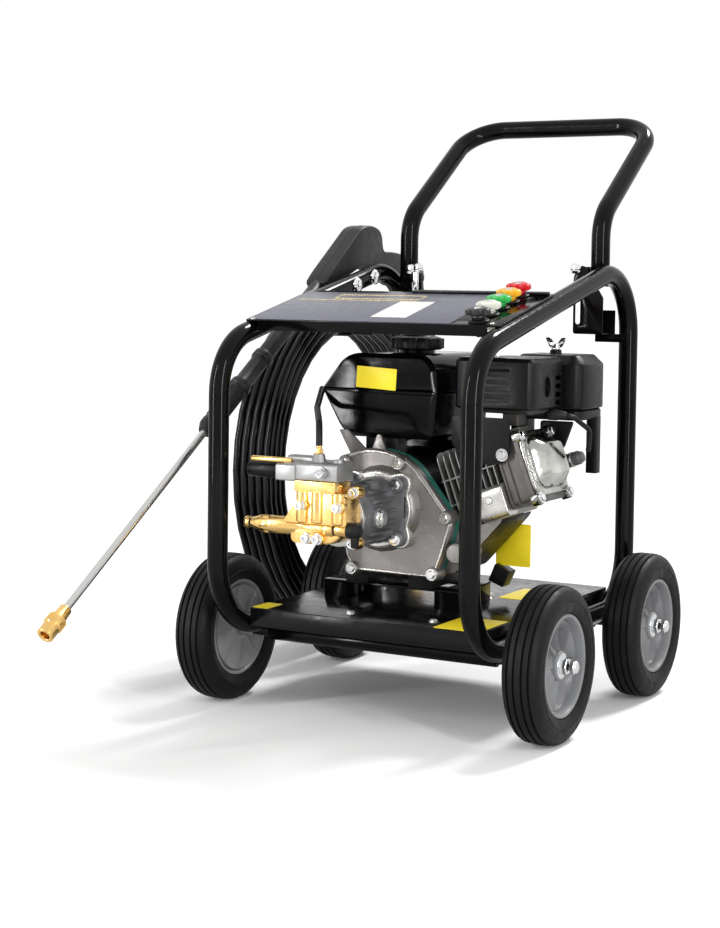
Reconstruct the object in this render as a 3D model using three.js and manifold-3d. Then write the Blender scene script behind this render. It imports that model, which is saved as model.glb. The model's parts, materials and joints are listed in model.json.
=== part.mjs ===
// Petrol pressure washer on a four-wheeled tube cart.
// Millimetres. +X is to the right seen from the pump end, +Y runs back towards the push handle, +Z is up.
import * as THREE from 'three';
import { mergeVertices } from 'three/addons/utils/BufferGeometryUtils.js';
import Module from 'manifold-3d';

const wasm = await Module();
wasm.setup();
const { Manifold, Mesh: SolidMesh } = wasm;

// ---------------------------------------------------------------- driving dimensions

const gap = 0.3; // clearance between pieces that touch or run in each other
const sheet = 2.5; // thickness of folded sheet steel

// Cart
const wheelRadius = 100;
const tyreWidth = 52;
const rimRadius = 66;
const wheelInset = 32.5; // from the outer side of a hoop tube to the middle of a wheel
const frontAxleY = -187;
const rearAxleY = 139;
const axleRadius = 8;
const axleTubeRadius = 12;
const tubeRadius = 13.5;
const hoopHalfSpan = 182.5; // from the middle of the cart to a hoop's plane
const hoopFrontY = -302;
const hoopRearY = 213;
const hoopBottomZ = 114;
const hoopFrontTopZ = 491;
const deckRise = 0.2345; // rise of the sloping top for each unit of run
const trayTopZ = 140;
const trayFrontY = -243.7;
const trayRearY = 182.3;
const trayDepth = 25;
const panelFrontY = -232;
const panelRearY = -64;
const panelOverhang = 3.5; // past the middle of a hoop's tube
const panelHalfWidth = hoopHalfSpan + panelOverhang;
const panelLip = 12;

// Push handle
const legGap = 1; // between a handle leg and the hoop beside it
const legHalfSpan = hoopHalfSpan - 2 * tubeRadius - legGap;
const pivotY = 170;
const pivotZ = 583;
const legBendZ = 671;
const crossbarY = 381;
const crossbarZ = 819;
const pivotPinRadius = 4;

// Engine, placed by its crankshaft axis and the face of its side cover
const crankX = -29;
const crankZ = 272;
const coverFaceY = -134;
const coverThickness = 13;
const crankcaseLength = 109.5;
const crankcaseFlange = 11;
const crankHeight = 106; // crankshaft above the engine's feet
const cylinderTilt = 20; // degrees above level
const cylinderDrop = 8; // the cylinder's centre line passes this far below the crankshaft
const cylinderY = 72; // middle of the cylinder behind the cover's face
const finCount = 11;
const finPitch = 9.5;
const finThickness = 2.4;
const finStart = 68;
const headLength = 38.5;
const rockerLength = 23;
const tankSeamZ = 427;
const tankTopZ = 479;
const tankFloorZ = 365;
const tankFrontY = -120;
const tankRearY = 52;
const tankLeftX = -140;
const tankRightX = 42;
const capRadius = 34;
const capHeight = 21;
const guardBottomZ = 408;
const guardTopZ = 478;
const filterSeamZ = 407;
const filterTopZ = 480;

// Pump, placed by the crankshaft axis and its mounting flange
const pumpFlangeY = -150;
const pumpBodyLength = 99;
const pumpBodyRadius = 41;
const manifoldDepth = 39;
const crossTubeRadius = 9.2;
const crossTubeZ = 260;
const unloaderHeight = 25;

// Spray gun and lance
const gunOffset = 45.5; // from the left hoop's plane out to the gun
const gunX = -(hoopHalfSpan + gunOffset);
const gunSeatY = -268.83; // where the lance runs into its sleeve, at the front holder
const gunSeatZ = 372.19;
const lanceAngle = 33.6; // degrees above level
const lanceTubeRadius = 5;
const couplerLength = 48;
const lanceTubeLength = 349;
const sleeveLength = 176;
const sleeveRadius = 12.5;
const lanceReach = couplerLength + lanceTubeLength;
const lanceTipY = gunSeatY - lanceReach * Math.cos((lanceAngle * Math.PI) / 180);
const lanceTipZ = gunSeatZ - lanceReach * Math.sin((lanceAngle * Math.PI) / 180);

// Spray tips kept on the top panel
const tipPitch = 34.5;
const tipRowInset = 33.5; // from the right hoop's plane in to the row of tips
const tipRowX = hoopHalfSpan - tipRowInset;
const tipRowStartY = -213.5;
const tipRadius = 5.6;
const tipSocketRadius = 6;
const tipSocketDepth = 18;
const tipColours = [0x1b1b1d, 0xe9e9e4, 0x2fb45c, 0xf0b42c, 0xd8232e];
const tipNames = ['black', 'white', 'green', 'yellow', 'red'];

// Hose wound on its hanger
const hoseDiameter = 13;
const hoseColumns = 5;
const hoseLayers = 4;
const coilInnerRadius = 208;
const coilY = 240;
const coilOffset = 100.5; // from the left hoop's plane out to the coil's near side
const coilNearX = -(hoopHalfSpan + coilOffset);
const fittingLength = 62;
const fittingRadius = 10.5;
const rodRadius = 4;

// ---------------------------------------------------------------- materials

const finish = (color, roughness, metalness) =>
  new THREE.MeshStandardMaterial({ color, roughness, metalness });
const blackPaint = finish(0x0d0d0f, 0.25, 0.2);
const blackPlastic = finish(0x17171a, 0.55, 0);
const rubber = finish(0x202022, 0.85, 0);
const wheelPlastic = finish(0x6f7175, 0.5, 0);
const castAluminium = finish(0xb9b6b0, 0.4, 0.85);
const darkCasting = finish(0x4b4d52, 0.45, 0.5);
const brass = finish(0xd9a441, 0.3, 0.95);
const chrome = finish(0xd5d7da, 0.15, 1);
const steel = finish(0x9fa2a6, 0.3, 1);

// ---------------------------------------------------------------- shape tools

const X = new THREE.Vector3(1, 0, 0);
const Y = new THREE.Vector3(0, 1, 0);
const Z = new THREE.Vector3(0, 0, 1);
const vec = (x, y, z) => new THREE.Vector3(x, y, z);
const radians = THREE.MathUtils.degToRad;

// Turns a closed three.js geometry into a solid, with its faces outwards.
function toSolid(geometry) {
  const bare = geometry.clone();
  bare.deleteAttribute('normal');
  bare.deleteAttribute('uv');
  const merged = mergeVertices(bare, 1e-4);
  const position = merged.attributes.position;
  const corner = [vec(0, 0, 0), vec(0, 0, 0), vec(0, 0, 0)];
  const triangles = [];
  let volume = 0;
  for (let i = 0; i < merged.index.count; i += 3) {
    const ids = [0, 1, 2].map((k) => merged.index.getX(i + k));
    if (new Set(ids).size < 3) continue;
    triangles.push(ids);
    ids.forEach((id, k) => corner[k].fromBufferAttribute(position, id));
    volume += corner[0].dot(corner[1].clone().cross(corner[2]));
  }
  if (volume < 0) triangles.forEach((ids) => ids.reverse());
  const vertProperties = Float32Array.from(position.array);
  const triVerts = Uint32Array.from(triangles.flat());
  return new Manifold(new SolidMesh({ numProp: 3, vertProperties, triVerts }));
}

function toGeometry(solid) {
  const { vertProperties, triVerts } = solid.getMesh();
  const geometry = new THREE.BufferGeometry();
  geometry.setAttribute('position', new THREE.BufferAttribute(Float32Array.from(vertProperties), 3));
  geometry.setIndex(new THREE.BufferAttribute(Uint32Array.from(triVerts), 1));
  const flat = geometry.toNonIndexed();
  flat.computeVertexNormals();
  return flat;
}

const join = (...solids) => solids.flat().reduce((whole, next) => whole.add(next));
const cut = (solid, ...tools) => tools.flat().reduce((whole, tool) => whole.subtract(tool), solid);

// Drops the crumbs that a cut can leave beside the main body.
const largest = (solid) => solid.decompose().sort((a, b) => b.volume() - a.volume())[0];

function piece(name, solid, material) {
  const mesh = new THREE.Mesh(toGeometry(solid), material);
  mesh.name = name;
  return mesh;
}

// A closed outline whose corners [a, b, fillet] are rounded.
function outlineShape(corners) {
  const shape = new THREE.Shape();
  const at = (i) => new THREE.Vector2(...corners[(i + corners.length) % corners.length]);
  corners.forEach(([, , fillet = 0], i) => {
    const here = at(i);
    const toBefore = at(i - 1).sub(here);
    const toAfter = at(i + 1).sub(here);
    const reach = Math.min(fillet, toBefore.length() * 0.49, toAfter.length() * 0.49);
    const start = here.clone().add(toBefore.setLength(reach || 1e-9));
    const end = here.clone().add(toAfter.setLength(reach || 1e-9));
    if (i === 0) shape.moveTo(start.x, start.y);
    else shape.lineTo(start.x, start.y);
    if (reach) shape.quadraticCurveTo(here.x, here.y, end.x, end.y);
  });
  shape.closePath();
  return shape;
}

// Extrudes an outline along an axis. The outline is (y, z) along X, (x, z) along Y and (x, y) along Z.
// A corner whose fillet is too tight to be bevelled is left sharp, so the bevel alone breaks it.
function prism(axis, from, to, corners, { bevel = 0, bevelSteps = 1, curveSegments = 3 } = {}) {
  const rounded = corners.map(([a, b, fillet = 0]) => [a, b, fillet > 1.6 * bevel ? fillet : 0]);
  const options = {
    depth: to - from - 2 * bevel,
    steps: 1,
    curveSegments,
    bevelEnabled: bevel > 0,
    bevelSize: bevel,
    bevelOffset: -bevel,
    bevelThickness: bevel,
    bevelSegments: bevelSteps,
  };
  const geometry = new THREE.ExtrudeGeometry(outlineShape(rounded), options);
  geometry.translate(0, 0, bevel);
  const bases = { x: [Y, Z, X], y: [X, Z, Y.clone().negate()], z: [X, Y, Z] };
  geometry.applyMatrix4(new THREE.Matrix4().makeBasis(...bases[axis]));
  if (axis === 'y') geometry.translate(0, to, 0);
  if (axis === 'x') geometry.translate(from, 0, 0);
  if (axis === 'z') geometry.translate(0, 0, from);
  return toSolid(geometry);
}

const rectangle = (a0, a1, b0, b1, fillet = 0) => [
  [a0, b0, fillet],
  [a1, b0, fillet],
  [a1, b1, fillet],
  [a0, b1, fillet],
];

function block([x0, x1], [y0, y1], [z0, z1]) {
  const geometry = new THREE.BoxGeometry(x1 - x0, y1 - y0, z1 - z0);
  geometry.translate((x0 + x1) / 2, (y0 + y1) / 2, (z0 + z1) / 2);
  return toSolid(geometry);
}

// A turned piece on an axis through a point: stations are [distance, radius] along the axis.
function turned(axis, [a, b], stations, sides = 20) {
  const first = stations[0][0];
  const last = stations.at(-1)[0];
  const profile = [[0, first], ...stations.map(([distance, radius]) => [radius, distance]), [0, last]];
  const points = profile.map(([radius, distance]) => new THREE.Vector2(radius, distance));
  const geometry = new THREE.LatheGeometry(points, sides);
  if (axis === 'x') geometry.rotateZ(-Math.PI / 2).translate(0, a, b);
  if (axis === 'y') geometry.translate(a, 0, b);
  if (axis === 'z') geometry.rotateX(Math.PI / 2).translate(a, b, 0);
  return toSolid(geometry);
}

const rod = (axis, centre, from, to, radius, sides = 16) =>
  turned(axis, centre, [[from, radius], [to, radius]], sides);

// A turned ring: its closed profile [distance, radius] never reaches the axis.
function ring(axis, [a, b], profile, sides) {
  const points = [...profile, profile[0]].map(([distance, radius]) => new THREE.Vector2(radius, distance));
  const geometry = new THREE.LatheGeometry(points, sides);
  if (axis === 'x') geometry.rotateZ(-Math.PI / 2).translate(0, a, b);
  if (axis === 'y') geometry.translate(a, 0, b);
  if (axis === 'z') geometry.rotateX(Math.PI / 2).translate(a, b, 0);
  return toSolid(geometry);
}

// Straight runs joined by arcs, with one station at each end of a run and several round each bend.
class BentPath extends THREE.Curve {
  constructor(corners, { closed = false, degreesPerStep = 18 } = {}) {
    super();
    this.closed = closed;
    this.stations = [];
    const count = corners.length;
    corners.forEach(({ at, radius = 0 }, i) => {
      const ends = !closed && (i === 0 || i === count - 1);
      const before = corners[(i + count - 1) % count].at;
      const after = corners[(i + 1) % count].at;
      if (ends) {
        const tangent = i === 0 ? after.clone().sub(at) : at.clone().sub(before);
        this.stations.push({ point: at, tangent: tangent.normalize() });
        return;
      }
      const toBefore = before.clone().sub(at).normalize();
      const toAfter = after.clone().sub(at).normalize();
      const bend = Math.PI - toBefore.angleTo(toAfter);
      const middle = toBefore.clone().add(toAfter).setLength(radius / Math.cos(bend / 2));
      const centre = at.clone().add(middle);
      const spin = toBefore.clone().negate().cross(toAfter).normalize();
      const start = at.clone().addScaledVector(toBefore, radius * Math.tan(bend / 2)).sub(centre);
      const steps = Math.max(1, Math.round(THREE.MathUtils.radToDeg(bend) / degreesPerStep));
      for (let k = 0; k <= steps; k += 1) {
        const turn = (bend * k) / steps;
        const point = centre.clone().add(start.clone().applyAxisAngle(spin, turn));
        const tangent = toBefore.clone().negate().applyAxisAngle(spin, turn);
        this.stations.push({ point, tangent });
      }
    });
    this.spans = closed ? this.stations.length : this.stations.length - 1;
  }

  station(t) {
    return this.stations[Math.round(t * this.spans) % this.stations.length];
  }

  getPoint(t) {
    return this.station(t).point.clone();
  }

  getPointAt(t) {
    return this.getPoint(t);
  }

  getTangent(t) {
    return this.station(t).tangent.clone();
  }

  getTangentAt(t) {
    return this.getTangent(t);
  }
}

function circleShape(radius, sides) {
  const points = Array.from({ length: sides }, (_, i) => {
    const angle = (2 * Math.PI * (i + 0.5)) / sides;
    return new THREE.Vector2(radius * Math.cos(angle), radius * Math.sin(angle));
  });
  return new THREE.Shape(points);
}

function bentTube(path, radius, sides = 10) {
  if (path.closed) return toSolid(new THREE.TubeGeometry(path, path.spans, radius, sides, true));
  const options = { steps: path.spans, bevelEnabled: false, extrudePath: path };
  return toSolid(new THREE.ExtrudeGeometry(circleShape(radius, sides), options));
}

const mirrored = (solid) => solid.mirror([1, 0, 0]);

// ---------------------------------------------------------------- cart

// Height of the hoop tube's centre line on the sloping top.
const deckZ = (y) => hoopFrontTopZ + deckRise * (y - hoopFrontY);
const deckAngle = Math.atan(deckRise);
const hoopInnerX = hoopHalfSpan - tubeRadius;
const hoopOuterX = hoopHalfSpan + tubeRadius;
const wheelX = hoopOuterX + wheelInset + 12;
const hubHalf = tyreWidth / 2 - 4;
const tyreSides = 26;
const rimSeat = rimRadius * Math.cos(Math.PI / tyreSides) - gap;

function hoop(side) {
  const x = side * hoopHalfSpan;
  const path = new BentPath([
    { at: vec(x, hoopFrontY, hoopBottomZ), radius: 95 },
    { at: vec(x, hoopRearY, hoopBottomZ), radius: 80 },
    { at: vec(x, hoopRearY, deckZ(hoopRearY)), radius: 85 },
    { at: vec(x, hoopFrontY, deckZ(hoopFrontY)), radius: 80 },
  ], { closed: true });
  const notches = [frontAxleY, rearAxleY].map((y) =>
    rod('x', [y, wheelRadius], x - 30, x + 30, axleRadius + 2 * gap, 10));
  return cut(bentTube(path, tubeRadius), notches);
}

// The axle is a tube between the hoops, with a bar through it that carries a wheel at each end.
function axle(y) {
  const inner = wheelX - hubHalf - gap;
  const outer = wheelX + hubHalf + gap;
  const half = [
    [hoopInnerX - gap, axleTubeRadius],
    [hoopInnerX - gap, axleRadius],
    [hoopOuterX + gap, axleRadius],
    [hoopOuterX + gap, axleTubeRadius - 1],
    [inner, axleTubeRadius - 1],
    [inner, axleRadius],
    [outer, axleRadius],
    [outer, 12],
    [outer + 12, 11],
    [outer + 16, 7],
  ];
  const stations = [...half.map(([x, r]) => [-x, r]).reverse(), ...half];
  return turned('x', [y, wheelRadius], stations, 10);
}

function tyre() {
  const half = tyreWidth / 2;
  const profile = [
    [-half + 4, rimRadius],
    [-half, rimRadius + 6],
    [-half, wheelRadius - 12],
    [-half + 10, wheelRadius],
    [half - 10, wheelRadius],
    [half, wheelRadius - 12],
    [half, rimRadius + 6],
    [half - 4, rimRadius],
  ];
  return ring('x', [0, 0], profile, tyreSides);
}

// The rim's dished face, with its fan of blades, looks away from the cart.
function rim(side) {
  const edge = hubHalf - 1;
  const profile = [
    [-hubHalf, axleRadius + gap],
    [-hubHalf, 20],
    [-edge, rimSeat],
    [edge, rimSeat],
    [edge, 60],
    [5, 57],
    [5, 20],
    [hubHalf, 17],
    [hubHalf, axleRadius + gap],
  ];
  const blades = Array.from({ length: 8 }, (_, i) =>
    block([0, 15], [-4, 4], [18.5, 57.5]).rotate([i * 45, 0, 0]));
  const whole = join(ring('x', [0, 0], profile, 16), blades);
  return side > 0 ? whole : mirrored(whole);
}

function wheel(name, x, y) {
  const group = new THREE.Group();
  group.position.set(x, y, wheelRadius);
  group.add(piece(`tyre_${name}`, tyre(), rubber));
  group.add(piece(`rim_${name}`, rim(Math.sign(x)), wheelPlastic));
  return group;
}

function tray() {
  const half = hoopInnerX - gap;
  const bottom = trayTopZ - trayDepth;
  const outer = block([-half, half], [trayFrontY, trayRearY], [bottom, trayTopZ]);
  const inside = block(
    [-half + sheet, half - sheet],
    [trayFrontY + sheet, trayRearY - sheet],
    [bottom - 1, trayTopZ - sheet],
  );
  return cut(outer, inside);
}

// The top panel lies on the sloping tubes. Its group's Y runs up the slope and its Z is square to it.
const panelFloor = tubeRadius + gap;
const panelLength = (panelRearY - panelFrontY) / Math.cos(deckAngle);

function panel() {
  const top = panelFloor + sheet;
  const plate = prism('z', panelFloor, top, rectangle(-panelHalfWidth, panelHalfWidth, 0, panelLength, 3));
  const lipHalf = hoopInnerX - 1;
  const lip = block([-lipHalf, lipHalf], [0, sheet], [panelFloor - panelLip, panelFloor + 0.5]);
  const lipDepth = [panelFloor - panelLip, panelFloor + 0.5];
  const rearLip = block([-lipHalf, lipHalf], [panelLength - sheet, panelLength], lipDepth);
  const holes = tipNames.map((_, i) => {
    const { x, y } = tipPlace(i);
    return rod('z', [x, y], panelFloor - 2, top + 2, tipRadius + gap, 12);
  });
  return cut(join(plate, lip, rearLip), holes);
}

const tipPlace = (i) => ({
  x: tipRowX - i * 1.5,
  y: (tipRowStartY - panelFrontY) / Math.cos(deckAngle) + i * tipPitch,
});

// A quick-connect spray tip: a plug for the lance below, a coloured collar above.
function sprayTip() {
  const seat = panelFloor + sheet + gap;
  return turned('z', [0, 0], [
    [seat - 20, tipRadius],
    [seat, tipRadius],
    [seat, 9],
    [seat + 6, 9],
    [seat + 7, 11.5],
    [seat + 18, 13.5],
  ], 12);
}

function topPanel() {
  const group = new THREE.Group();
  group.position.set(0, panelFrontY, deckZ(panelFrontY));
  group.rotation.x = deckAngle;
  group.add(piece('top_panel', panel(), blackPaint));
  tipNames.forEach((name, i) => {
    const { x, y } = tipPlace(i);
    const place = new THREE.Group();
    place.position.set(x, y, 0);
    place.add(piece(`tip_${name}`, sprayTip(), finish(tipColours[i], 0.45, 0)));
    group.add(place);
  });
  return group;
}

// ---------------------------------------------------------------- push handle

const legEndZ = pivotZ - 10;
const earInnerX = legHalfSpan - tubeRadius - 1;

function handleTube() {
  const corner = (x, y, z, radius) => ({ at: vec(x, y, z), radius });
  const path = new BentPath([
    corner(-legHalfSpan, pivotY, legEndZ),
    corner(-legHalfSpan, pivotY, legBendZ, 60),
    corner(-legHalfSpan, crossbarY, crossbarZ, 60),
    corner(legHalfSpan, crossbarY, crossbarZ, 60),
    corner(legHalfSpan, pivotY, legBendZ, 60),
    corner(legHalfSpan, pivotY, legEndZ),
  ], { degreesPerStep: 15 });
  const bores = [-1, 1].map((side) =>
    rod('x', [pivotY, pivotZ], side * legHalfSpan - 20, side * legHalfSpan + 20, pivotPinRadius + gap, 12));
  return cut(bentTube(path, tubeRadius), bores);
}

// A folded bracket: an ear beside the leg, a front wall with a slot, and a foot on the hoop's rear tube.
function handleBracket() {
  const bottom = 505;
  const frontY = pivotY - tubeRadius - 5;
  const rearY = hoopRearY - tubeRadius - gap;
  const wingX = legHalfSpan - 32;
  const outerX = hoopInnerX - 1.5;
  const ear = prism('x', earInnerX - sheet, earInnerX, [
    [frontY - sheet, bottom, 3],
    [rearY - 1, bottom, 3],
    [rearY - 1, pivotZ - 42, 8],
    [pivotY + 15, pivotZ - 14, 6],
    [pivotY + 15, pivotZ + 18, 12],
    [frontY - sheet, pivotZ + 18, 4],
  ]);
  const wall = prism('y', frontY - sheet, frontY, [
    [wingX, bottom, 4],
    [outerX, bottom, 2],
    [outerX, pivotZ - 26, 2],
    [earInnerX, pivotZ + 18, 2],
    [wingX + 12, pivotZ + 20, 8],
    [wingX, pivotZ + 6, 6],
  ]);
  const back = block([earInnerX - sheet, outerX], [rearY - sheet, rearY], [bottom - 12, pivotZ - 44]);
  const foot = block([earInnerX - sheet, hoopHalfSpan], [rearY - sheet, rearY], [bottom - 12, bottom]);
  const floor = block([earInnerX - sheet, outerX], [frontY - 1, rearY], [bottom, bottom + sheet]);
  const slotHalf = 4;
  const slotX = (wingX + earInnerX) / 2 - 2;
  const slot = prism('y', frontY - 10, frontY + 10,
    rectangle(slotX - slotHalf, slotX + slotHalf, bottom + 14, bottom + 52, 4));
  return join(cut(join(ear, wall, back, foot, floor), slot), pivotPin());
}

// The stub that the leg turns on, from the ear to the hoop.
function pivotPin() {
  const head = earInnerX - sheet + 0.5;
  return turned('x', [pivotY, pivotZ], [
    [head - 6, 7],
    [head, 7],
    [head, pivotPinRadius],
    [legHalfSpan + tubeRadius + 0.6, pivotPinRadius],
  ], 12);
}

// ---------------------------------------------------------------- engine

const engine = new THREE.Group();
engine.position.set(crankX, coverFaceY, crankZ);
const inEngineX = (x) => x - crankX;
const inEngineY = (y) => y - coverFaceY;
const inEngineZ = (z) => z - crankZ;

const coverOutline = [
  [-55, -69, 8],
  [-41, -88, 8],
  [80, -88, 10],
  [92, -60, 14],
  [106, -11, 10],
  [42, 68, 22],
  [0, 80, 20],
  [-34, 79, 16],
  [-65, 65, 10],
];
const shrunk = (outline, inset) => outline.map(([x, z, fillet]) => {
  const length = Math.hypot(x, z);
  return [x * (1 - inset / length), z * (1 - inset / length), fillet];
});

const flangeBossRadius = 60;
const coverFlangeY = inEngineY(pumpFlangeY);
const flangeBolts = [[-34, -34], [34, -34], [34, 34], [-34, 34]];

function sideCover() {
  const plate = prism('y', -3, coverThickness, coverOutline, { bevel: 3 });
  const dome = turned('y', [0, 0], [
    [coverFlangeY + gap, flangeBossRadius - 8],
    [coverFlangeY + 5, flangeBossRadius - 4],
    [1, flangeBossRadius],
  ], 20);
  const ears = flangeBolts.map(([x, z]) => rod('y', [x, z], coverFlangeY + gap, 1, 12, 8));
  return join(plate, dome, ears);
}

const crankcaseStart = coverThickness + gap;
const crankcaseEnd = crankcaseStart + crankcaseLength;

// Along the cylinder: s runs outwards from the crankshaft and n is square to it, upwards.
const tiltRadians = radians(cylinderTilt);
const intoCylinder = (solid) => solid.translate([0, 0, -cylinderDrop]).rotate([0, -cylinderTilt, 0]);
const cylinderBlock = (s0, s1, halfY, n0, n1) =>
  intoCylinder(block([s0, s1], [cylinderY - halfY, cylinderY + halfY], [n0, n1]));
const finEnd = finStart + finCount * finPitch;
const headEnd = finEnd + headLength;

function crankcase() {
  const flange = prism('y', crankcaseStart, crankcaseStart + crankcaseFlange, shrunk(coverOutline, 0.5));
  const body = prism('y', crankcaseStart, crankcaseEnd, shrunk(coverOutline, 5));
  const slope = prism('y', crankcaseStart + 12, crankcaseEnd - 4, [
    [70, -84, 6],
    [96, -84, 8],
    [168, -4, 10],
    [150, 30, 10],
    [70, 40, 6],
  ]);
  const feet = [-48, 48].map((x) =>
    block([x - 17, x + 17], [crankcaseStart + 4, crankcaseEnd - 4], [-crankHeight, -80]));
  const filler = turned('y', fillerPlace, [[crankcaseStart - 6, 13], [crankcaseStart + 30, 16]], 12);
  const tankSeatTop = inEngineZ(tankFloorZ) - gap;
  const tankSeat = block([-40, 10], [crankcaseStart + 10, crankcaseStart + 34], [70, tankSeatTop]);
  const cylinderRoom = cylinderBlock(finStart - 2, headEnd, 200, finBottom - gap, 300);
  return join(cut(join(body, slope), cylinderRoom), flange, feet, filler, tankSeat);
}
const finBottom = -52;
const finTop = 56;

function cylinderBarrel() {
  const core = cylinderBlock(finStart - 2 + gap, finEnd - gap, 40, -40, 40);
  const fins = Array.from({ length: finCount }, (_, i) => {
    const s = finStart + i * finPitch;
    return cylinderBlock(s, s + finThickness, 50, finBottom, finTop);
  });
  const ribs = [-18, 16].map((n) => cylinderBlock(finStart, finEnd - gap, 48, n, n + 2.4));
  const pushrodBox = intoCylinder(prism('x', finEnd - 42, finEnd - gap,
    rectangle(cylinderY - 62, cylinderY - 30, finBottom, -8, 12)));
  const seat = crankcase();
  const clearance = seat.translate([gap * Math.cos(tiltRadians), 0, gap * Math.sin(tiltRadians)]);
  return largest(cut(join(core, fins, ribs, pushrodBox), seat, clearance));
}

function cylinderHead() {
  const body = intoCylinder(prism('x', finEnd, headEnd - gap, [
    [cylinderY - 50, -44, 10],
    [cylinderY + 50, -44, 10],
    [cylinderY + 50, 46, 10],
    [cylinderY - 50, 46, 10],
  ], { bevel: 3 }));
  const flange = intoCylinder(prism('x', headEnd - 7, headEnd - gap,
    rectangle(cylinderY - 56, cylinderY + 54, -48, 48, 16)));
  const plugBoss = intoCylinder(rod('y', [finEnd + 22, -2], cylinderY + 45, cylinderY + 60, 13, 12));
  const port = block([finEnd + 6, finEnd + 34], [cylinderY - 30, cylinderY + 4], [40, 56]);
  return join(body, flange, plugBoss, intoCylinder(port));
}

function rockerCover() {
  const flange = prism('x', headEnd, headEnd + 5, rectangle(cylinderY - 55, cylinderY + 53, -40, 48, 22));
  const dome = prism('x', headEnd - 10, headEnd + rockerLength,
    rectangle(cylinderY - 46, cylinderY + 44, -32, 40, 24), { bevel: 14, bevelSteps: 1 });
  const keep = block([headEnd + 1, headEnd + 80], [-50, 200], [-80, 80]);
  return intoCylinder(join(flange, dome.intersect(keep)));
}

function sparkPlugAndCap() {
  const start = cylinderY + 60 + gap;
  const plug = turned('y', [finEnd + 22, -2], [
    [start, 10],
    [start + 6, 10],
    [start + 6, 6],
    [start + 16, 6],
    [start + 16, 9],
    [start + 40, 8],
    [start + 42, 5],
  ], 12);
  return intoCylinder(plug);
}

function fuelTank() {
  const x = inEngineX;
  const z = inEngineZ;
  const upper = prism('y', inEngineY(tankFrontY), inEngineY(tankRearY), [
    [x(tankLeftX + 2), z(tankSeamZ), 2],
    [x(tankRightX - 2), z(tankSeamZ), 2],
    [x(tankRightX - 4), z(tankTopZ - 16), 10],
    [x(tankRightX - 18), z(tankTopZ), 10],
    [x(tankLeftX + 55), z(tankTopZ), 10],
    [x(tankLeftX + 36), z(tankTopZ - 8), 10],
  ], { bevel: 6 });
  const lower = prism('y', inEngineY(tankFrontY), inEngineY(tankRearY), [
    [x(tankLeftX + 2), z(tankSeamZ + 3), 2],
    [x(tankLeftX + 36), z(tankFloorZ + 8), 10],
    [x(tankLeftX + 54), z(tankFloorZ), 8],
    [x(tankRightX - 8), z(tankFloorZ), 12],
    [x(tankRightX - 2), z(tankSeamZ + 3), 2],
  ], { bevel: 6 });
  const seam = prism('z', z(tankSeamZ) - 1, z(tankSeamZ) + 2,
    rectangle(x(tankLeftX), x(tankRightX), inEngineY(tankFrontY) - 2, inEngineY(tankRearY) + 2, 12));
  const neck = turned('z', [inEngineX(-24), inEngineY(-50)],
    [[z(tankTopZ) - 3, capRadius - 9], [z(tankTopZ) + 4, capRadius - 9]], 16);
  return join(upper, lower, seam, neck);
}

function fuelCap() {
  const base = inEngineZ(tankTopZ) + 4 + gap;
  const lugs = Array.from({ length: 8 }, (_, i) => {
    const angle = (i * Math.PI) / 4;
    const reach = capRadius - 3;
    const place = [reach * Math.cos(angle), reach * Math.sin(angle)];
    return rod('z', place, base + 1, base + capHeight - 3, 5, 6);
  });
  const body = turned('z', [0, 0], [
    [base, capRadius - 4],
    [base + capHeight - 4, capRadius - 2],
    [base + capHeight, capRadius - 7],
  ], 16);
  return join(body, lugs).translate([inEngineX(-24), inEngineY(-50), 0]);
}

function mufflerGuard() {
  const [x0, x1] = [inEngineX(64), inEngineX(179)];
  const [y0, y1] = [inEngineY(-118), inEngineY(-9)];
  const [z0, z1] = [inEngineZ(guardBottomZ), inEngineZ(guardTopZ)];
  const wall = 3;
  const outer = prism('z', z0, z1, rectangle(x0, x1, y0, y1, 16), { bevel: 5 });
  const inside = prism('z', z0 - 10, z1 - wall, rectangle(x0 + wall, x1 - wall, y0 + wall, y1 - wall, 12));
  const frontSlots = Array.from({ length: 5 }, (_, i) =>
    block([x0 + 30, x1 - 32], [y0 - 5, y0 + 8], [z0 + 12 + i * 10, z0 + 16 + i * 10]));
  const sideSlots = Array.from({ length: 4 }, (_, i) =>
    block([x1 - 8, x1 + 5], [y1 - 32, y1 - 8], [z0 + 7 + i * 11, z0 + 13 + i * 11]));
  const topSlots = Array.from({ length: 6 }, (_, i) =>
    block([x1 - 30, x1 - 12], [y0 + 24 + i * 10, y0 + 28 + i * 10], [z1 - 8, z1 + 5]));
  const window = turned('x', [0, 0], [[x1 - 10, 14], [x1 + 5, 14]], 20)
    .scale([1, 0.72, 1]).translate([0, y0 + 50, z0 + 32]);
  return cut(outer, inside, frontSlots, sideSlots, topSlots, window);
}

// The silencer box hangs in its guard on the exhaust pipe, which seats on the head's port.
function muffler() {
  const [bottom, top] = [inEngineZ(guardBottomZ - 4), inEngineZ(guardTopZ - 10)];
  const box = prism('x', inEngineX(72), inEngineX(171),
    rectangle(inEngineY(-110), inEngineY(-30), bottom, top, 18), { bevel: 4 });
  const pipe = prism('z', portTopZ + gap, bottom + 6,
    rectangle(portX - 12, portX + 12, cylinderY - 28, cylinderY + 2, 5));
  const stud = rod('z', [inEngineX(120), inEngineY(-70)], top - 4, inEngineZ(guardTopZ - 3) - gap, 9, 10);
  return join(box, pipe, stud);
}
const portS = finEnd + 20;
const portN = 56 - cylinderDrop;
const portX = portS * Math.cos(tiltRadians) - portN * Math.sin(tiltRadians);
const portTopZ = portS * Math.sin(tiltRadians) + portN * Math.cos(tiltRadians) + 5;

const filterX = [92, 202];
const filterY = [-7, 88];

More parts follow.
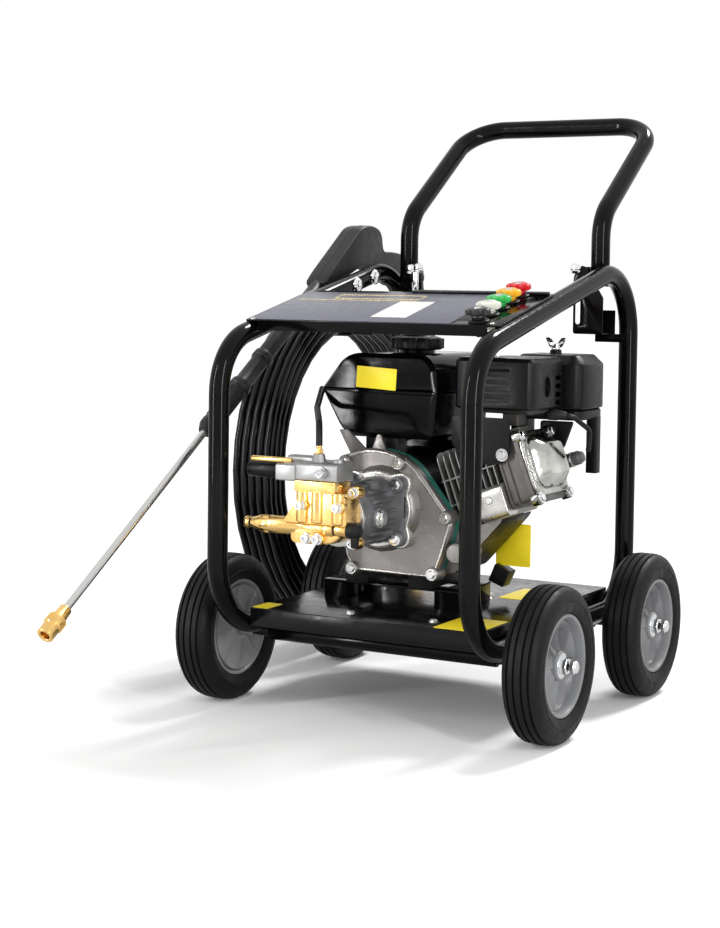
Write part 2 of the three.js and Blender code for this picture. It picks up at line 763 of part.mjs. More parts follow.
function filterBase() {
  const [x0, x1] = filterX.map(inEngineX);
  const [y0, y1] = filterY.map(inEngineY);
  const z = inEngineZ;
  const panOutline = rectangle(x0 + 3, x1 - 3, y0 + 3, y1 - 3, 20);
  const pan = prism('z', z(filterSeamZ - 15), z(filterSeamZ), panOutline, { bevel: 3 });
  const elbow = prism('z', z(350), z(filterSeamZ - 12),
    rectangle(inEngineX(94), inEngineX(119), inEngineY(0), inEngineY(34), 8));
  const breather = prism('z', z(317), z(filterSeamZ - 12),
    rectangle(inEngineX(184), inEngineX(200), inEngineY(54), inEngineY(72), 4));
  return join(pan, elbow, breather);
}

function filterCover() {
  const [x0, x1] = filterX.map(inEngineX);
  const [y0, y1] = filterY.map(inEngineY);
  const z = inEngineZ;
  const lower = prism('z', z(filterSeamZ) + gap, z(filterTopZ - 25), rectangle(x0, x1, y0, y1, 24));
  const upper = prism('z', z(filterTopZ - 40), z(filterTopZ), rectangle(x0, x1, y0, y1, 24), { bevel: 13 });
  const stud = rod('z', filterStud, z(filterTopZ - 2), z(filterTopZ + 6), 8, 12);
  return join(lower, upper, stud);
}
const filterStud = [inEngineX(145), inEngineY(37)];

function wingNut() {
  const base = inEngineZ(filterTopZ + 6) + gap;
  const hub = turned('z', [0, 0], [[base, 6.5], [base + 9, 4.5]], 12);
  const wing = prism('y', -1.5, 1.5, [
    [2, base + 2, 0],
    [9, base + 3, 2],
    [16, base + 16, 4],
    [9, base + 17, 3],
    [2, base + 8, 0],
  ]);
  return join(hub, wing, mirrored(wing)).translate([...filterStud, 0]);
}

function carburettor() {
  const port = block([151, 162], [cylinderY + 50.6, cylinderY + 62], [48, 70]);
  const duct = block([140, 162], [cylinderY + 56, cylinderY + 68], [48, 70]);
  const body = prism('z', 22, inEngineZ(350) - gap,
    rectangle(carbX - 20, carbX + 20, cylinderY + 55, cylinderY + 96, 8));
  const bowl = turned('z', [carbX, cylinderY + 76], [[6, 14], [9, 18], [24, 18]], 12);
  return join(port, duct, body, bowl);
}
const carbX = 129;

function lever(x, z, y0, length) {
  const hub = rod('y', [x, z], y0, y0 + 5, 7, 12);
  const arm = block([x - 4, x + 4], [y0 + 0.5, y0 + 4.5], [z, z + length]);
  const pad = block([x - 7, x + 7], [y0 + 0.5, y0 + 9], [z + length - 8, z + length]);
  return join(hub, arm, pad);
}
const leverY = cylinderY + 96 + gap;
const chokePlace = [carbX - 4, 50];

// Fan housing round the flywheel, behind the crankcase.
const fanRadius = 90;
const housingStart = crankcaseEnd + gap;
const housingEnd = housingStart + 66;
const recoilEnd = housingEnd + gap + 30;

function fanHousing() {
  const drum = turned('y', [0, 0], [
    [housingStart, fanRadius - 4],
    [housingStart + 6, fanRadius],
    [housingEnd - 8, fanRadius],
    [housingEnd, fanRadius - 8],
  ], 22);
  const duct = prism('y', housingStart, housingStart + 40, [
    [20, -60, 10],
    [92, -42, 10],
    [114, -14, 10],
    [104, 8, 6],
    [60, 78, 12],
    [20, 84, 6],
  ]);
  const foot = block([-60, 60], [housingStart + 4, housingStart + 24], [-92, -60]);
  const [x, z] = switchPlace;
  const switchBox = block([x - 9, x + 9], [housingStart + 30, switchSeat], [z - 14, z + 10]);
  const ropeBore = rod('y', recoilPort, housingEnd - 62, housingEnd + 1, ropeRadius + gap, 8);
  const tankSeatTop = inEngineZ(tankFloorZ) - gap;
  const tankSeat = block([-50, 30], [housingStart + 8, housingStart + 44], [80, tankSeatTop]);
  return cut(join(drum, duct, foot, switchBox, tankSeat), ropeBore);
}

function recoilStarter() {
  const cover = turned('y', [0, 0], [
    [housingEnd + gap, 76],
    [housingEnd + 14, 74],
    [recoilEnd - 4, 62],
    [recoilEnd, 54],
  ], 20);
  const outlet = rod('y', recoilPort, housingEnd + gap, recoilEnd + 2, 14, 12);
  const slots = Array.from({ length: 8 }, (_, i) =>
    block([-3, 3], [recoilEnd - 20, recoilEnd + 5], [30, 48]).rotate([0, i * 45, 0]));
  const ropeBore = rod('y', recoilPort, housingEnd - 5, recoilEnd + 5, ropeRadius + gap, 8);
  return cut(join(cover, outlet), slots, ropeBore);
}
const recoilPort = [-44, 44];
const ropeRadius = 2.5;
const ropeReach = 60;

// The grip carries the first stretch of starter rope, which stays in the housing at rest.
function starterGrip() {
  const seat = recoilEnd + 2 + gap;
  const [x, z] = recoilPort;
  const grip = prism('y', seat, seat + 16, rectangle(x - 22, x + 22, z - 9, z + 9, 8), { bevel: 3 });
  const rope = rod('y', recoilPort, seat - ropeReach - 10, seat + 4, ropeRadius, 8);
  return join(grip, rope);
}

const switchPlace = [101, -9];
const switchSeat = housingStart + 46;

function engineSwitch() {
  const [x, z] = switchPlace;
  const disc = turned('y', switchPlace, [[switchSeat + gap, 8], [switchSeat + 4, 7]], 12);
  const wing = block([x - 2, x + 2], [switchSeat + 3, switchSeat + 10], [z - 9, z + 9]);
  return join(disc, wing);
}

const fillerPlace = [112, -52];
function oilPlug() {
  const seat = crankcaseStart - 6 - gap;
  const [x, z] = fillerPlace;
  const head = turned('y', fillerPlace, [[seat - 4, 13.5], [seat, 13.5]], 12);
  const wing = prism('y', seat - 12, seat - 3, rectangle(x - 3, x + 3, z - 10, z + 10, 3));
  return join(head, wing);
}

// ---------------------------------------------------------------- engine mounts

const feetZ = crankZ - crankHeight;

// Two cross rails and two side bars under the feet, standing on four blocks on the tray.
function cradle() {
  const top = feetZ - gap;
  const rails = railYs.map((y) => block([crankX - 100, crankX + 106], [y - 16, y + 16], [top - 3, top]));
  const bars = mountXs.map((x) => block([x - 12, x + 12], [railYs[0] - 4, railYs[1] + 4], [top - 3, top]));
  const blocks = mountXs.flatMap((x) => railYs.map((y) =>
    block([x - 18, x + 18], [y - 15, y + 15], [trayTopZ + gap, top - 2])));
  return join(rails, bars, blocks);
}
const mountXs = [crankX - 82, crankX + 88];
const railYs = [coverFaceY + crankcaseStart + 20, coverFaceY + crankcaseEnd - 20];

// ---------------------------------------------------------------- pump

const pump = new THREE.Group();
pump.position.set(crankX, pumpFlangeY, crankZ);
const inPumpX = inEngineX;
const inPumpY = (y) => y - pumpFlangeY;
const inPumpZ = inEngineZ;
const bodyFront = -pumpBodyLength;
const plateFront = bodyFront - gap - 6;
const manifoldBack = plateFront - gap;
const manifoldFront = manifoldBack - manifoldDepth;
const crossTubeY = manifoldBack - 24;
const unloaderBottom = 49;
const unloaderTop = unloaderBottom + unloaderHeight;

function pumpBody() {
  const flange = prism('y', -10, 0, rectangle(-45, 45, -42, 42, 14));
  const barrel = turned('y', [0, 0], [
    [bodyFront, 37],
    [bodyFront + 9, 38],
    [-30, pumpBodyRadius],
    [-9, pumpBodyRadius + 4],
  ], 20);
  const ribs = Array.from({ length: 10 }, (_, i) =>
    block([-1.5, 1.5], [bodyFront + 14, -8], [34, 45]).rotate([0, i * 36 + 9, 0]));
  const plugBoss = rod('x', [inPumpY(-220), -2], 30, 44, 12, 10);
  const sealPlate = turned('y', [0, 0], [[plateFront, 37], [bodyFront + 1, 37]], 20);
  return join(flange, barrel, ribs, plugBoss, sealPlate);
}

function manifold() {
  const top = unloaderBottom - gap;
  const tower = prism('y', manifoldFront, manifoldBack, [
    [-60, -6, 3],
    [34, -6, 4],
    [31, top - 17, 3],
    [18, top - 13, 1],
    [18, top, 1],
    [-42, top, 1],
    [-42, top - 12, 1],
    [-39, top - 18, 3],
    [-45, 14, 8],
  ]);
  const columns = [-31, -9, 21].map((x) => rod('z', [x, manifoldFront + 1], -4, top - 13, 8, 10));
  const chambers = [-31, 23].map((x) => rod('y', [x, 18], manifoldFront - 3, manifoldBack, 9, 12));
  const lower = rod('y', [-2, -4], manifoldFront + 10, manifoldBack, 28, 16);
  const lugs = block([-50, -16], [manifoldFront + 6, manifoldBack], [-32, -10]);
  const tubeSeat = rod('x', [crossTubeY, inPumpZ(crossTubeZ)], -200, 80, crossTubeRadius + gap + 0.1, 14);
  const swellSeat = rod('x', [crossTubeY, inPumpZ(crossTubeZ)], -200, inPumpX(-71) + gap, 12.3 + gap, 14);
  const capSeat = rod('x', [crossTubeY, inPumpZ(crossTubeZ)], inPumpX(1), 80, 11, 12);
  return cut(join(tower, columns, chambers, lower, lugs), tubeSeat, swellSeat, capSeat);
}

// The water tube runs across under the manifold, with a quick coupling on one end and a capped inlet on the
// other.
function crossTube() {
  const left = inPumpX(-153);
  const hexStart = inPumpX(-126);
  const hexEnd = inPumpX(-114);
  const swellEnd = inPumpX(-71);
  const right = inPumpX(1);
  const r = crossTubeRadius;
  const tube = turned('x', [crossTubeY, inPumpZ(crossTubeZ)], [
    [left, 8],
    [left + 6, 8],
    [left + 6, 6],
    [left + 12, 6],
    [hexStart, 11.5],
    [swellEnd - 6, 11.5],
    [swellEnd, r],
    [right, r],
  ], 14);
  const hex = turned('x', [crossTubeY, inPumpZ(crossTubeZ)], [[hexStart, 13], [hexEnd, 13]], 6);
  return join(tube, hex);
}

function inletCap() {
  const start = inPumpX(1) + gap;
  const centreZ = inPumpZ(crossTubeZ);
  const hood = turned('x', [crossTubeY, centreZ], [[start, 9], [start + 12, 9], [start + 17, 6]], 12);
  const spout = turned('z', [start + 9, crossTubeY],
    [[centreZ - 22, 4], [centreZ - 10, 5], [centreZ, 5]], 10);
  return join(hood, spout);
}

function unloader() {
  const z0 = unloaderBottom;
  const z1 = unloaderTop;
  const [y0, y1] = [manifoldFront + 3, manifoldBack + 6];
  const main = prism('x', inPumpX(-90), inPumpX(-10.6),
    [[y0, z0, 2], [y1, z0, 2], [y1, z1, 4], [y0, z1 - 3, 6]]);
  const end = prism('x', inPumpX(-100), inPumpX(-71) - gap,
    [[y0 - 2, z0 - 2, 3], [y1 - 6, z0 - 2, 3], [y1 - 6, z1 - 5, 5], [y0 - 2, z1 - 5, 5]]);
  const ridge = prism('x', inPumpX(-96), inPumpX(-58),
    [[y0 + 20, z0 + 4, 2], [y1, z0 + 4, 2], [y1, z1 + 4, 5], [y0 + 20, z1 + 4, 5]]);
  const boss = turned('z', [nippleX, nippleY], [[z1 - 6, 11], [z1 + 8, 7.5]], 10);
  const corner = rod('z', [inPumpX(-20), nippleY], z1 - 6, z1 + 2, 7, 10);
  const plug = rod('y', [inPumpX(-31), z0 + 11], y0 - 4, y0 + 4, 8, 10);
  return join(main, end, ridge, boss, corner, plug);
}
const nippleX = inPumpX(-49);
const nippleY = manifoldBack - 15;
const knobPlace = [manifoldBack - 19, unloaderBottom + 9];

function unloaderKnob() {
  const end = inPumpX(-100) - gap;
  const profile = [[end - 50, 8], [end - 46, 10.5], [end - 3, 10.5], [end - 3, 8], [end, 8]];
  return turned('x', knobPlace, profile, 14);
}

function detergentNipple() {
  const start = unloaderTop + 8 + gap;
  return turned('z', [nippleX, nippleY], [
    [start, 6.5],
    [start + 6, 6.5],
    [start + 6, 3.4],
    [start + 17, 3.4],
  ], 8);
}

// ---------------------------------------------------------------- spray gun

const gun = new THREE.Group();
gun.position.set(gunX, lanceTipY, lanceTipZ);
gun.rotation.x = radians(lanceAngle);
const tubeStart = couplerLength + gap;
const tubeEnd = tubeStart + lanceTubeLength;
const sleeveEnd = tubeEnd + gap + sleeveLength;

// The coupler's mouth takes the stem of a spray tip.
function coupler() {
  const body = turned('y', [0, 0], [
    [0, 11],
    [16, 11],
    [17, 12],
    [30, 12],
    [31, 9],
    [couplerLength, 8],
  ], 16);
  return cut(body, rod('y', [0, 0], -1, tipSocketDepth, tipSocketRadius, 32));
}

const lanceTube = () => rod('y', [0, 0], tubeStart, tubeEnd, lanceTubeRadius, 10);

function lanceSleeve() {
  const start = tubeEnd + gap;
  const r = sleeveRadius;
  const tube = turned('y', [0, 0], [
    [start, 9],
    [start + 12, 14],
    [start + 22, 14],
    [start + 26, r],
    [start + 98, r],
    [start + 100, 15.5],
    [start + 110, 15.5],
    [start + 112, r],
    [start + 166, r],
    [start + 167, 15],
    [sleeveEnd, 15],
  ], 14);
  return tube;
}

const barrelStart = sleeveEnd + gap;
const barrelLength = 172;
const bodyStart = barrelStart + barrelLength;

// The gun's shell: a barrel, a deep body, and a pistol grip that turns down behind the trigger.
function gunShell() {
  const barrel = turned('y', [0, 0], [[barrelStart, 12], [bodyStart + 6, 12]], 18);
  const profile = [
    [bodyStart, -17, 4],
    [bodyStart + 62, -20, 8],
    [bodyStart + 112, -32, 14],
    [bodyStart + 146, -64, 20],
    [bodyStart + 196, -126, 10],
    [bodyStart + 216, -136, 12],
    [bodyStart + 246, -112, 12],
    [bodyStart + 232, -90, 16],
    [bodyStart + 200, -64, 16],
    [bodyStart + 174, -48, 12],
    [bodyStart + 188, -18, 18],
    [bodyStart + 163, 8, 14],
    [bodyStart + 137, 19, 10],
    [bodyStart + 20, 14, 10],
    [bodyStart, 11, 4],
  ];
  const shell = prism('x', -17, 17, profile, { bevel: 5, bevelSteps: 1 });
  const slot = prism('x', -5, 5, [
    [bodyStart + 44, -34, 0],
    [bodyStart + 100, -44, 0],
    [bodyStart + 100, -12, 0],
    [bodyStart + 44, -6, 0],
  ]);
  return cut(join(barrel, shell), slot);
}

const triggerPivot = [bodyStart + 54, -15];
function trigger() {
  const [y, z] = triggerPivot;
  return prism('x', -4.5, 4.5, [
    [y - 5, z + 5, 2],
    [y + 6, z + 4, 2],
    [y + 14, z - 20, 8],
    [y + 20, z - 62, 6],
    [y + 8, z - 66, 4],
    [y - 2, z - 30, 8],
  ]);
}

// Cradle for the gun: a plate on the outer side of the left hoop with two forked arms.
const lanceLineZ = (y) => lanceTipZ + (y - lanceTipY) * Math.tan(radians(lanceAngle));
const armYs = [-30, 34];
const armDrops = [12, 17.6];

function gunHolder() {
  const outer = -hoopOuterX - gap;
  const tops = armYs.map((y, i) => lanceLineZ(y - 8) - (armDrops[i] + gap) / Math.cos(radians(lanceAngle)));
  const plate = prism('x', outer - 3, outer, [
    [armYs[0] - 12, tops[0] - 8, 4],
    [armYs[0] + 12, tops[0] - 8, 4],
    [armYs[1] + 14, tops[1] - 12, 4],
    [armYs[1] + 14, tops[1], 4],
    [armYs[1] - 30, deckZ(armYs[1] - 30) + 8, 4],
    [armYs[0] - 12, deckZ(armYs[0] - 12) + 8, 4],
  ]);
  const arms = armYs.flatMap((y, i) => [
    block([gunX - 24, outer - 2], [y - 8, y + 8], [tops[i] - 4, tops[i]]),
    block([gunX - 24, gunX - 21], [y - 8, y + 8], [tops[i] - 5, tops[i] + 14]),
  ]);
  return join(plate, arms);
}

// ---------------------------------------------------------------- hose hanger and coil

const coilWidth = hoseColumns * hoseDiameter;
const coilFarX = coilNearX - coilWidth;
const coilOuterRadius = coilInnerRadius + hoseLayers * hoseDiameter;
const hangerY = [coilY - 34, coilY + 34];
const coilZ = 293;
const hangerTopZ = coilZ + Math.sqrt((coilInnerRadius - gap) ** 2 - 34 ** 2) - rodRadius;

function coil() {
  return ring('x', [coilY, coilZ], [
    [coilFarX, coilInnerRadius],
    [coilFarX, coilOuterRadius],
    [coilNearX, coilOuterRadius],
    [coilNearX, coilInnerRadius],
  ], 40);
}

// A brass coupling on each end of the hose. The hose runs off the near side of the coil, so a coupling lies
// beside the coil, along the circle at its own radius and angle.
function hoseFitting(radius, angle, direction) {
  const profile = [
    [0, 8.5],
    [26, 8.5],
    [26, fittingRadius],
    [36, fittingRadius],
    [36, 7.5],
    [40, 7.5],
    [40, fittingRadius - 0.5],
    [fittingLength, fittingRadius - 0.5],
  ];
  const turn = radians(angle);
  return turned('y', [0, 0], profile, 12)
    .rotate([angle + direction * 90, 0, 0])
    .translate([coilNearX + fittingRadius + gap, coilY + radius * Math.cos(turn),
      coilZ + radius * Math.sin(turn)]);
}

// Two bent rods on a clamp plate reach out under the coil and turn up past it.
function hoseHanger() {
  const plateX = -hoopOuterX - gap;
  const rods = hangerY.map((y) => bentTube(new BentPath([
    { at: vec(plateX - 3, y, hangerTopZ + 26) },
    { at: vec(coilNearX + 12, y, hangerTopZ + 26), radius: 10 },
    { at: vec(coilNearX + 12, y, hangerTopZ), radius: 10 },
    { at: vec(coilFarX - 14, y, hangerTopZ), radius: 12 },
    { at: vec(coilFarX - 14, y, hangerTopZ + 42) },
  ], { degreesPerStep: 45 }), rodRadius, 6));
  const plate = prism('x', plateX - 4, plateX, [
    [hangerY[0] - 10, hangerTopZ + 14, 6],
    [hangerY[1] + 10, hangerTopZ + 14, 6],
    [hangerY[1] + 10, hangerTopZ + 38, 6],
    [hangerY[0] - 10, hangerTopZ + 38, 6],
  ]);
  return join(plate, rods);
}

// ---------------------------------------------------------------- assembly

const washer = new THREE.Group();

washer.add(piece('frame_hoop_left', hoop(-1), blackPaint));
washer.add(piece('frame_hoop_right', hoop(1), blackPaint));
washer.add(piece('base_tray', tray(), blackPaint));
washer.add(piece('front_axle', axle(frontAxleY), steel));
washer.add(piece('rear_axle', axle(rearAxleY), steel));
washer.add(wheel('front_left', -wheelX, frontAxleY));
washer.add(wheel('front_right', wheelX, frontAxleY));
washer.add(wheel('rear_left', -wheelX, rearAxleY));
washer.add(wheel('rear_right', wheelX, rearAxleY));
washer.add(topPanel());

washer.add(piece('handle_tube', handleTube(), blackPaint));
washer.add(piece('handle_bracket_right', handleBracket(), blackPaint));
washer.add(piece('handle_bracket_left', mirrored(handleBracket()), blackPaint));

engine.add(piece('engine_side_cover', sideCover(), castAluminium));
engine.add(piece('crankcase', crankcase(), castAluminium));
engine.add(piece('cylinder_barrel', cylinderBarrel(), castAluminium));
engine.add(piece('cylinder_head', cylinderHead(), castAluminium));
engine.add(piece('rocker_cover', rockerCover(), chrome));
engine.add(piece('spark_plug_cap', sparkPlugAndCap(), blackPlastic));
engine.add(piece('fuel_tank', fuelTank(), blackPaint));
engine.add(piece('fuel_cap', fuelCap(), blackPlastic));
engine.add(piece('muffler_guard', mufflerGuard(), blackPlastic));
engine.add(piece('muffler', muffler(), darkCasting));
engine.add(piece('air_filter_base', filterBase(), blackPlastic));
engine.add(piece('air_filter_cover', filterCover(), blackPlastic));
engine.add(piece('filter_wing_nut', wingNut(), chrome));
engine.add(piece('carburettor', carburettor(), castAluminium));
engine.add(piece('choke_lever', lever(...chokePlace, leverY, 26), blackPlastic));
engine.add(piece('fan_housing', fanHousing(), blackPaint));
engine.add(piece('recoil_starter', recoilStarter(), blackPaint));
engine.add(piece('starter_grip', starterGrip(), blackPlastic));
engine.add(piece('engine_switch', engineSwitch(), blackPlastic));
engine.add(piece('oil_plug', oilPlug(), blackPlastic));
washer.add(engine);

washer.add(piece('engine_cradle', cradle(), blackPaint));

pump.add(piece('pump_body', pumpBody(), darkCasting));
pump.add(piece('pump_manifold', manifold(), brass));
pump.add(piece('water_tube', crossTube(), brass));
pump.add(piece('inlet_cap', inletCap(), blackPlastic));
pump.add(piece('unloader_block', unloader(), castAluminium));
pump.add(piece('unloader_knob', unloaderKnob(), blackPlastic));
pump.add(piece('detergent_nipple', detergentNipple(), brass));
washer.add(pump);

gun.add(piece('lance_coupler', coupler(), brass));
gun.add(piece('lance_tube', lanceTube(), steel));
gun.add(piece('lance_sleeve', lanceSleeve(), blackPlastic));
gun.add(piece('gun_shell', gunShell(), blackPlastic));
gun.add(piece('gun_trigger', trigger(), blackPlastic));
washer.add(gun);

washer.add(piece('gun_holder', gunHolder(), blackPaint));
washer.add(piece('hose_hanger', hoseHanger(), blackPaint));
washer.add(piece('hose_coil', coil(), rubber));
washer.add(piece('hose_fitting_inner', hoseFitting(coilInnerRadius + hoseDiameter / 2, -35, 1), brass));
washer.add(piece('hose_fitting_outer', hoseFitting(coilOuterRadius - hoseDiameter / 2, 59, -1), brass));

// The origin is on the floor, in the middle of the footprint of everything but the wound hose.
washer.updateMatrixWorld(true);
const footprint = new THREE.Box3();
const hosePieces = ['hose_coil', 'hose_fitting_inner', 'hose_fitting_outer'];
washer.traverse((node) => {
  if (node.isMesh && !hosePieces.includes(node.name)) footprint.expandByObject(node, true);
});
washer.position.x = -(footprint.min.x + footprint.max.x) / 2;
washer.position.y = -(footprint.min.y + footprint.max.y) / 2;
washer.position.z = -footprint.min.z;

export default washer;
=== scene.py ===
# %% [markdown]
# A petrol pressure washer: an engine drives an axial pump, and both stand on a tray between two
# bent tubes on wheels. The solids arrive finished in size and place. This lesson gives them their
# surface: smooth tubes, cast metal, brass, rubber and moulded plastic. A place could be written in
# metres in the shared frame, but then its numbers would mean little to a maker. So places are in
# millimetres from the middle of the cart, as on its drawing, and one function carries them into the
# frame.

# %% Load the frame
import json
import math

import bmesh
import bpy
from mathutils import Matrix, Vector


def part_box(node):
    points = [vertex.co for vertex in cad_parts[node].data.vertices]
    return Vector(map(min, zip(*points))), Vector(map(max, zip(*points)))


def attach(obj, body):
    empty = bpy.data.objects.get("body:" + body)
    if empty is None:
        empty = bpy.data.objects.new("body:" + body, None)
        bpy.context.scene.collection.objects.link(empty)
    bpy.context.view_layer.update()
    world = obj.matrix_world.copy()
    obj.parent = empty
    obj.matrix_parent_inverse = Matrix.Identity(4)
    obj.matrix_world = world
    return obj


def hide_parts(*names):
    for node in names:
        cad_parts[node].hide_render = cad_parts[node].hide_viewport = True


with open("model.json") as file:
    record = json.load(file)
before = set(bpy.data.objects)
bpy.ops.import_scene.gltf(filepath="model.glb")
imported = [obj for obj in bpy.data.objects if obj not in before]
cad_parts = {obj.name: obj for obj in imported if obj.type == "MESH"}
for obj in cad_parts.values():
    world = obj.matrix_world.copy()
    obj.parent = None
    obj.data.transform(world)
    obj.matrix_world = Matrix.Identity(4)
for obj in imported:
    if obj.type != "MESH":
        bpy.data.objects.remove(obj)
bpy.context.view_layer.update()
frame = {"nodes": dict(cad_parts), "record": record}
MM = 0.001
FRONT_AXLE_Y, REAR_AXLE_Y, HUB_Z = -187, 139, 100
low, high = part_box("front_axle")
ORIGIN = Vector((
    (low.x + high.x) / 2, (low.y + high.y) / 2 - FRONT_AXLE_Y * MM,
    (low.z + high.z) / 2 - HUB_Z * MM,
))
bodies = frame["record"]["behaviour"]["bodies"]
BODY_OF = {node: body for body, nodes in bodies.items() for node in nodes}


def place(x, y, z):
    return Vector((x, y, z)) * MM + ORIGIN


# %% [markdown]
# The camera stands low and to the right, looking slightly down, with a long lens, so that the four
# wheels keep nearly their true proportions. It could be aimed at a target, but a target gives no
# roll. So its turn is written as yaw, pitch and roll, which are what one would change on a tripod
# head.

# %% Camera
YAW, PITCH, ROLL = math.radians(29.26), math.radians(2.75), math.radians(0.77)
FOCAL_LENGTH, SENSOR_WIDTH, LENS_SHIFT = 71.41, 36, -0.1002
CAMERA_SPOT = (1145.48, -2298.15, 574.11)
ahead = Vector((
    -math.sin(YAW) * math.cos(PITCH), math.cos(YAW) * math.cos(PITCH), -math.sin(PITCH),
))
level = Vector((math.cos(YAW), math.sin(YAW), 0))
upright = level.cross(ahead)
side = level * math.cos(ROLL) + upright * math.sin(ROLL)
top = upright * math.cos(ROLL) - level * math.sin(ROLL)
lens = bpy.data.cameras.new("camera")
lens.lens, lens.sensor_width, lens.shift_y = FOCAL_LENGTH, SENSOR_WIDTH, LENS_SHIFT
camera = bpy.data.objects.new("camera", lens)
tripod_head = Matrix((side, top, -ahead)).transposed().to_4x4()
camera.matrix_world = Matrix.Translation(place(*CAMERA_SPOT)) @ tripod_head
bpy.context.collection.objects.link(camera)
bpy.context.scene.camera = camera
print("camera", tuple(round(c, 3) for c in camera.location))

# %% [markdown]
# Most pieces of a machine are turned, bent from tube, or cut from plate. Blender's own primitives
# could be stretched into them, but a turned profile says more than a stack of cylinders. So there
# are three makers: sweep a circle along a line, turn a profile about an axis, and extrude an
# outline. Each gives its points in millimetres and its faces.

# %% Shape makers
CORNER_STEPS = 5


def band(here, there, sides):
    """Faces between two closed rows of points, given the number at which each row starts."""
    return [
        (here + k, here + (k + 1) % sides, there + (k + 1) % sides, there + k)
        for k in range(sides)
    ]


def skin(rows, sides, closed=False, first=0):
    """Bands from each row of points to the next. Closed, the last row is joined to the first."""
    faces = []
    for i in range(rows if closed else rows - 1):
        faces += band(first + i * sides, first + (i + 1) % rows * sides, sides)
    return faces


def sweep(points, radius, sides=24, closed=False):
    """A circle carried along a line. The radius is a number, or a list with one for each point."""
    line = [Vector(p) for p in points]
    count = len(line)
    radii = radius if isinstance(radius, list) else [radius] * count
    tangents = []
    for i in range(count):
        after = line[(i + 1) % count] if closed or i < count - 1 else line[i]
        before = line[i - 1] if closed or i > 0 else line[i]
        tangents.append((after - before).normalized())
    across = tangents[0].orthogonal().normalized()
    verts = []
    for i, point in enumerate(line):
        if i:
            across = tangents[i - 1].rotation_difference(tangents[i]) @ across
        other = tangents[i].cross(across)
        for k in range(sides):
            a = 2 * math.pi * k / sides
            verts.append(point + (across * math.cos(a) + other * math.sin(a)) * radii[i])
    faces = skin(count, sides, closed)
    if not closed:
        faces += [tuple(range(sides))[::-1], tuple(range((count - 1) * sides, count * sides))]
    return verts, faces


def on_axis(axis, distance, a, b):
    """A point at a distance along an axis, with its two other coordinates in their usual order."""
    return Vector({"x": (distance, a, b), "y": (a, distance, b), "z": (a, b, distance)}[axis])


def round_axis(axis, centre, distance, radius, angle):
    return on_axis(
        axis, distance, centre[0] + radius * math.cos(angle), centre[1] + radius * math.sin(angle),
    )


def turn(axis, centre, profile, sides=48, ring=False):
    """A profile of (distance, radius) turned about an axis. A ring is closed on itself."""
    angles = [2 * math.pi * k / sides for k in range(sides)]
    verts = [round_axis(axis, centre, d, r, a) for d, r in profile for a in angles]
    faces = skin(len(profile), sides, ring)
    if not ring:
        faces += [tuple(range(sides)), tuple(range(len(verts) - sides, len(verts)))]
    return verts, faces


def rounded(corners):
    """Rounds each corner (a, b, reach) of an outline with a smooth curve."""
    outline = []
    for i, (a, b, reach) in enumerate(corners):
        here = Vector((a, b))
        before = Vector(corners[i - 1][:2]) - here
        after = Vector(corners[(i + 1) % len(corners)][:2]) - here
        reach = min(reach, before.length * 0.49, after.length * 0.49)
        if reach < 0.05:
            outline.append(here)
            continue
        start, end = here + before.normalized() * reach, here + after.normalized() * reach
        for k in range(CORNER_STEPS + 1):
            t = k / CORNER_STEPS
            outline.append(start * (1 - t) ** 2 + here * 2 * t * (1 - t) + end * t * t)
    return outline


def extrude(axis, start, end, corners):
    outline = rounded(corners)
    count = len(outline)
    verts = [on_axis(axis, d, *p) for d in (start, end) for p in outline]
    return verts, skin(2, count) + [tuple(range(count))[::-1], tuple(range(count, 2 * count))]


def rect(a0, a1, b0, b1, reach=0):
    return [(a0, b0, reach), (a1, b0, reach), (a1, b1, reach), (a0, b1, reach)]


def bent(corners, closed=False, step=6):
    """Straight runs joined by arcs. A corner is (point, bend radius), and a step is in degrees."""
    line = []
    count = len(corners)
    for i, (point, radius) in enumerate(corners):
        here = Vector(point)
        if not closed and i in (0, count - 1):
            line.append(here)
            continue
        back = (Vector(corners[i - 1][0]) - here).normalized()
        on = (Vector(corners[(i + 1) % count][0]) - here).normalized()
        bend = math.pi - back.angle(on)
        centre = here + (back + on).normalized() * (radius / math.cos(bend / 2))
        axis = (-back).cross(on).normalized()
        start = here + back * radius * math.tan(bend / 2) - centre
        steps = max(2, round(math.degrees(bend) / step))
        for k in range(steps + 1):
            line.append(centre + Matrix.Rotation(bend * k / steps, 3, axis) @ start)
    return line


print(
    "a bent line has", len(bent([((0, 0, 0), 0), ((100, 0, 0), 30), ((100, 100, 0), 0)])), "points",
)

# %% [markdown]
# A real casting or pressing never has a knife edge. The edges could be beveled by hand, one by one,
# or left to a bevel node in the material, which a mesh doesn't keep. So most pieces get a small
# Bevel modifier, which catches the light as a thin bright line, and every piece is then turned back
# into a plain mesh that exports as it looks. Smooth shading stops at edges sharper than an angle.

# %% From points to a finished piece
LEVEL = Matrix.Identity(4)


def added(name, mesh):
    obj = bpy.data.objects.new(name, mesh)
    bpy.context.collection.objects.link(obj)
    return obj


def joined(name, shapes, spot):
    """One object from shapes. Spot is a function that carries a point to its place in metres."""
    tool = bmesh.new()
    for verts, faces in shapes:
        made = [tool.verts.new(spot(v)) for v in verts]
        for face in faces:
            tool.faces.new([made[i] for i in face])
    bmesh.ops.recalc_face_normals(tool, faces=tool.faces)
    mesh = bpy.data.meshes.new(name)
    tool.to_mesh(mesh)
    tool.free()
    return added(name, mesh)


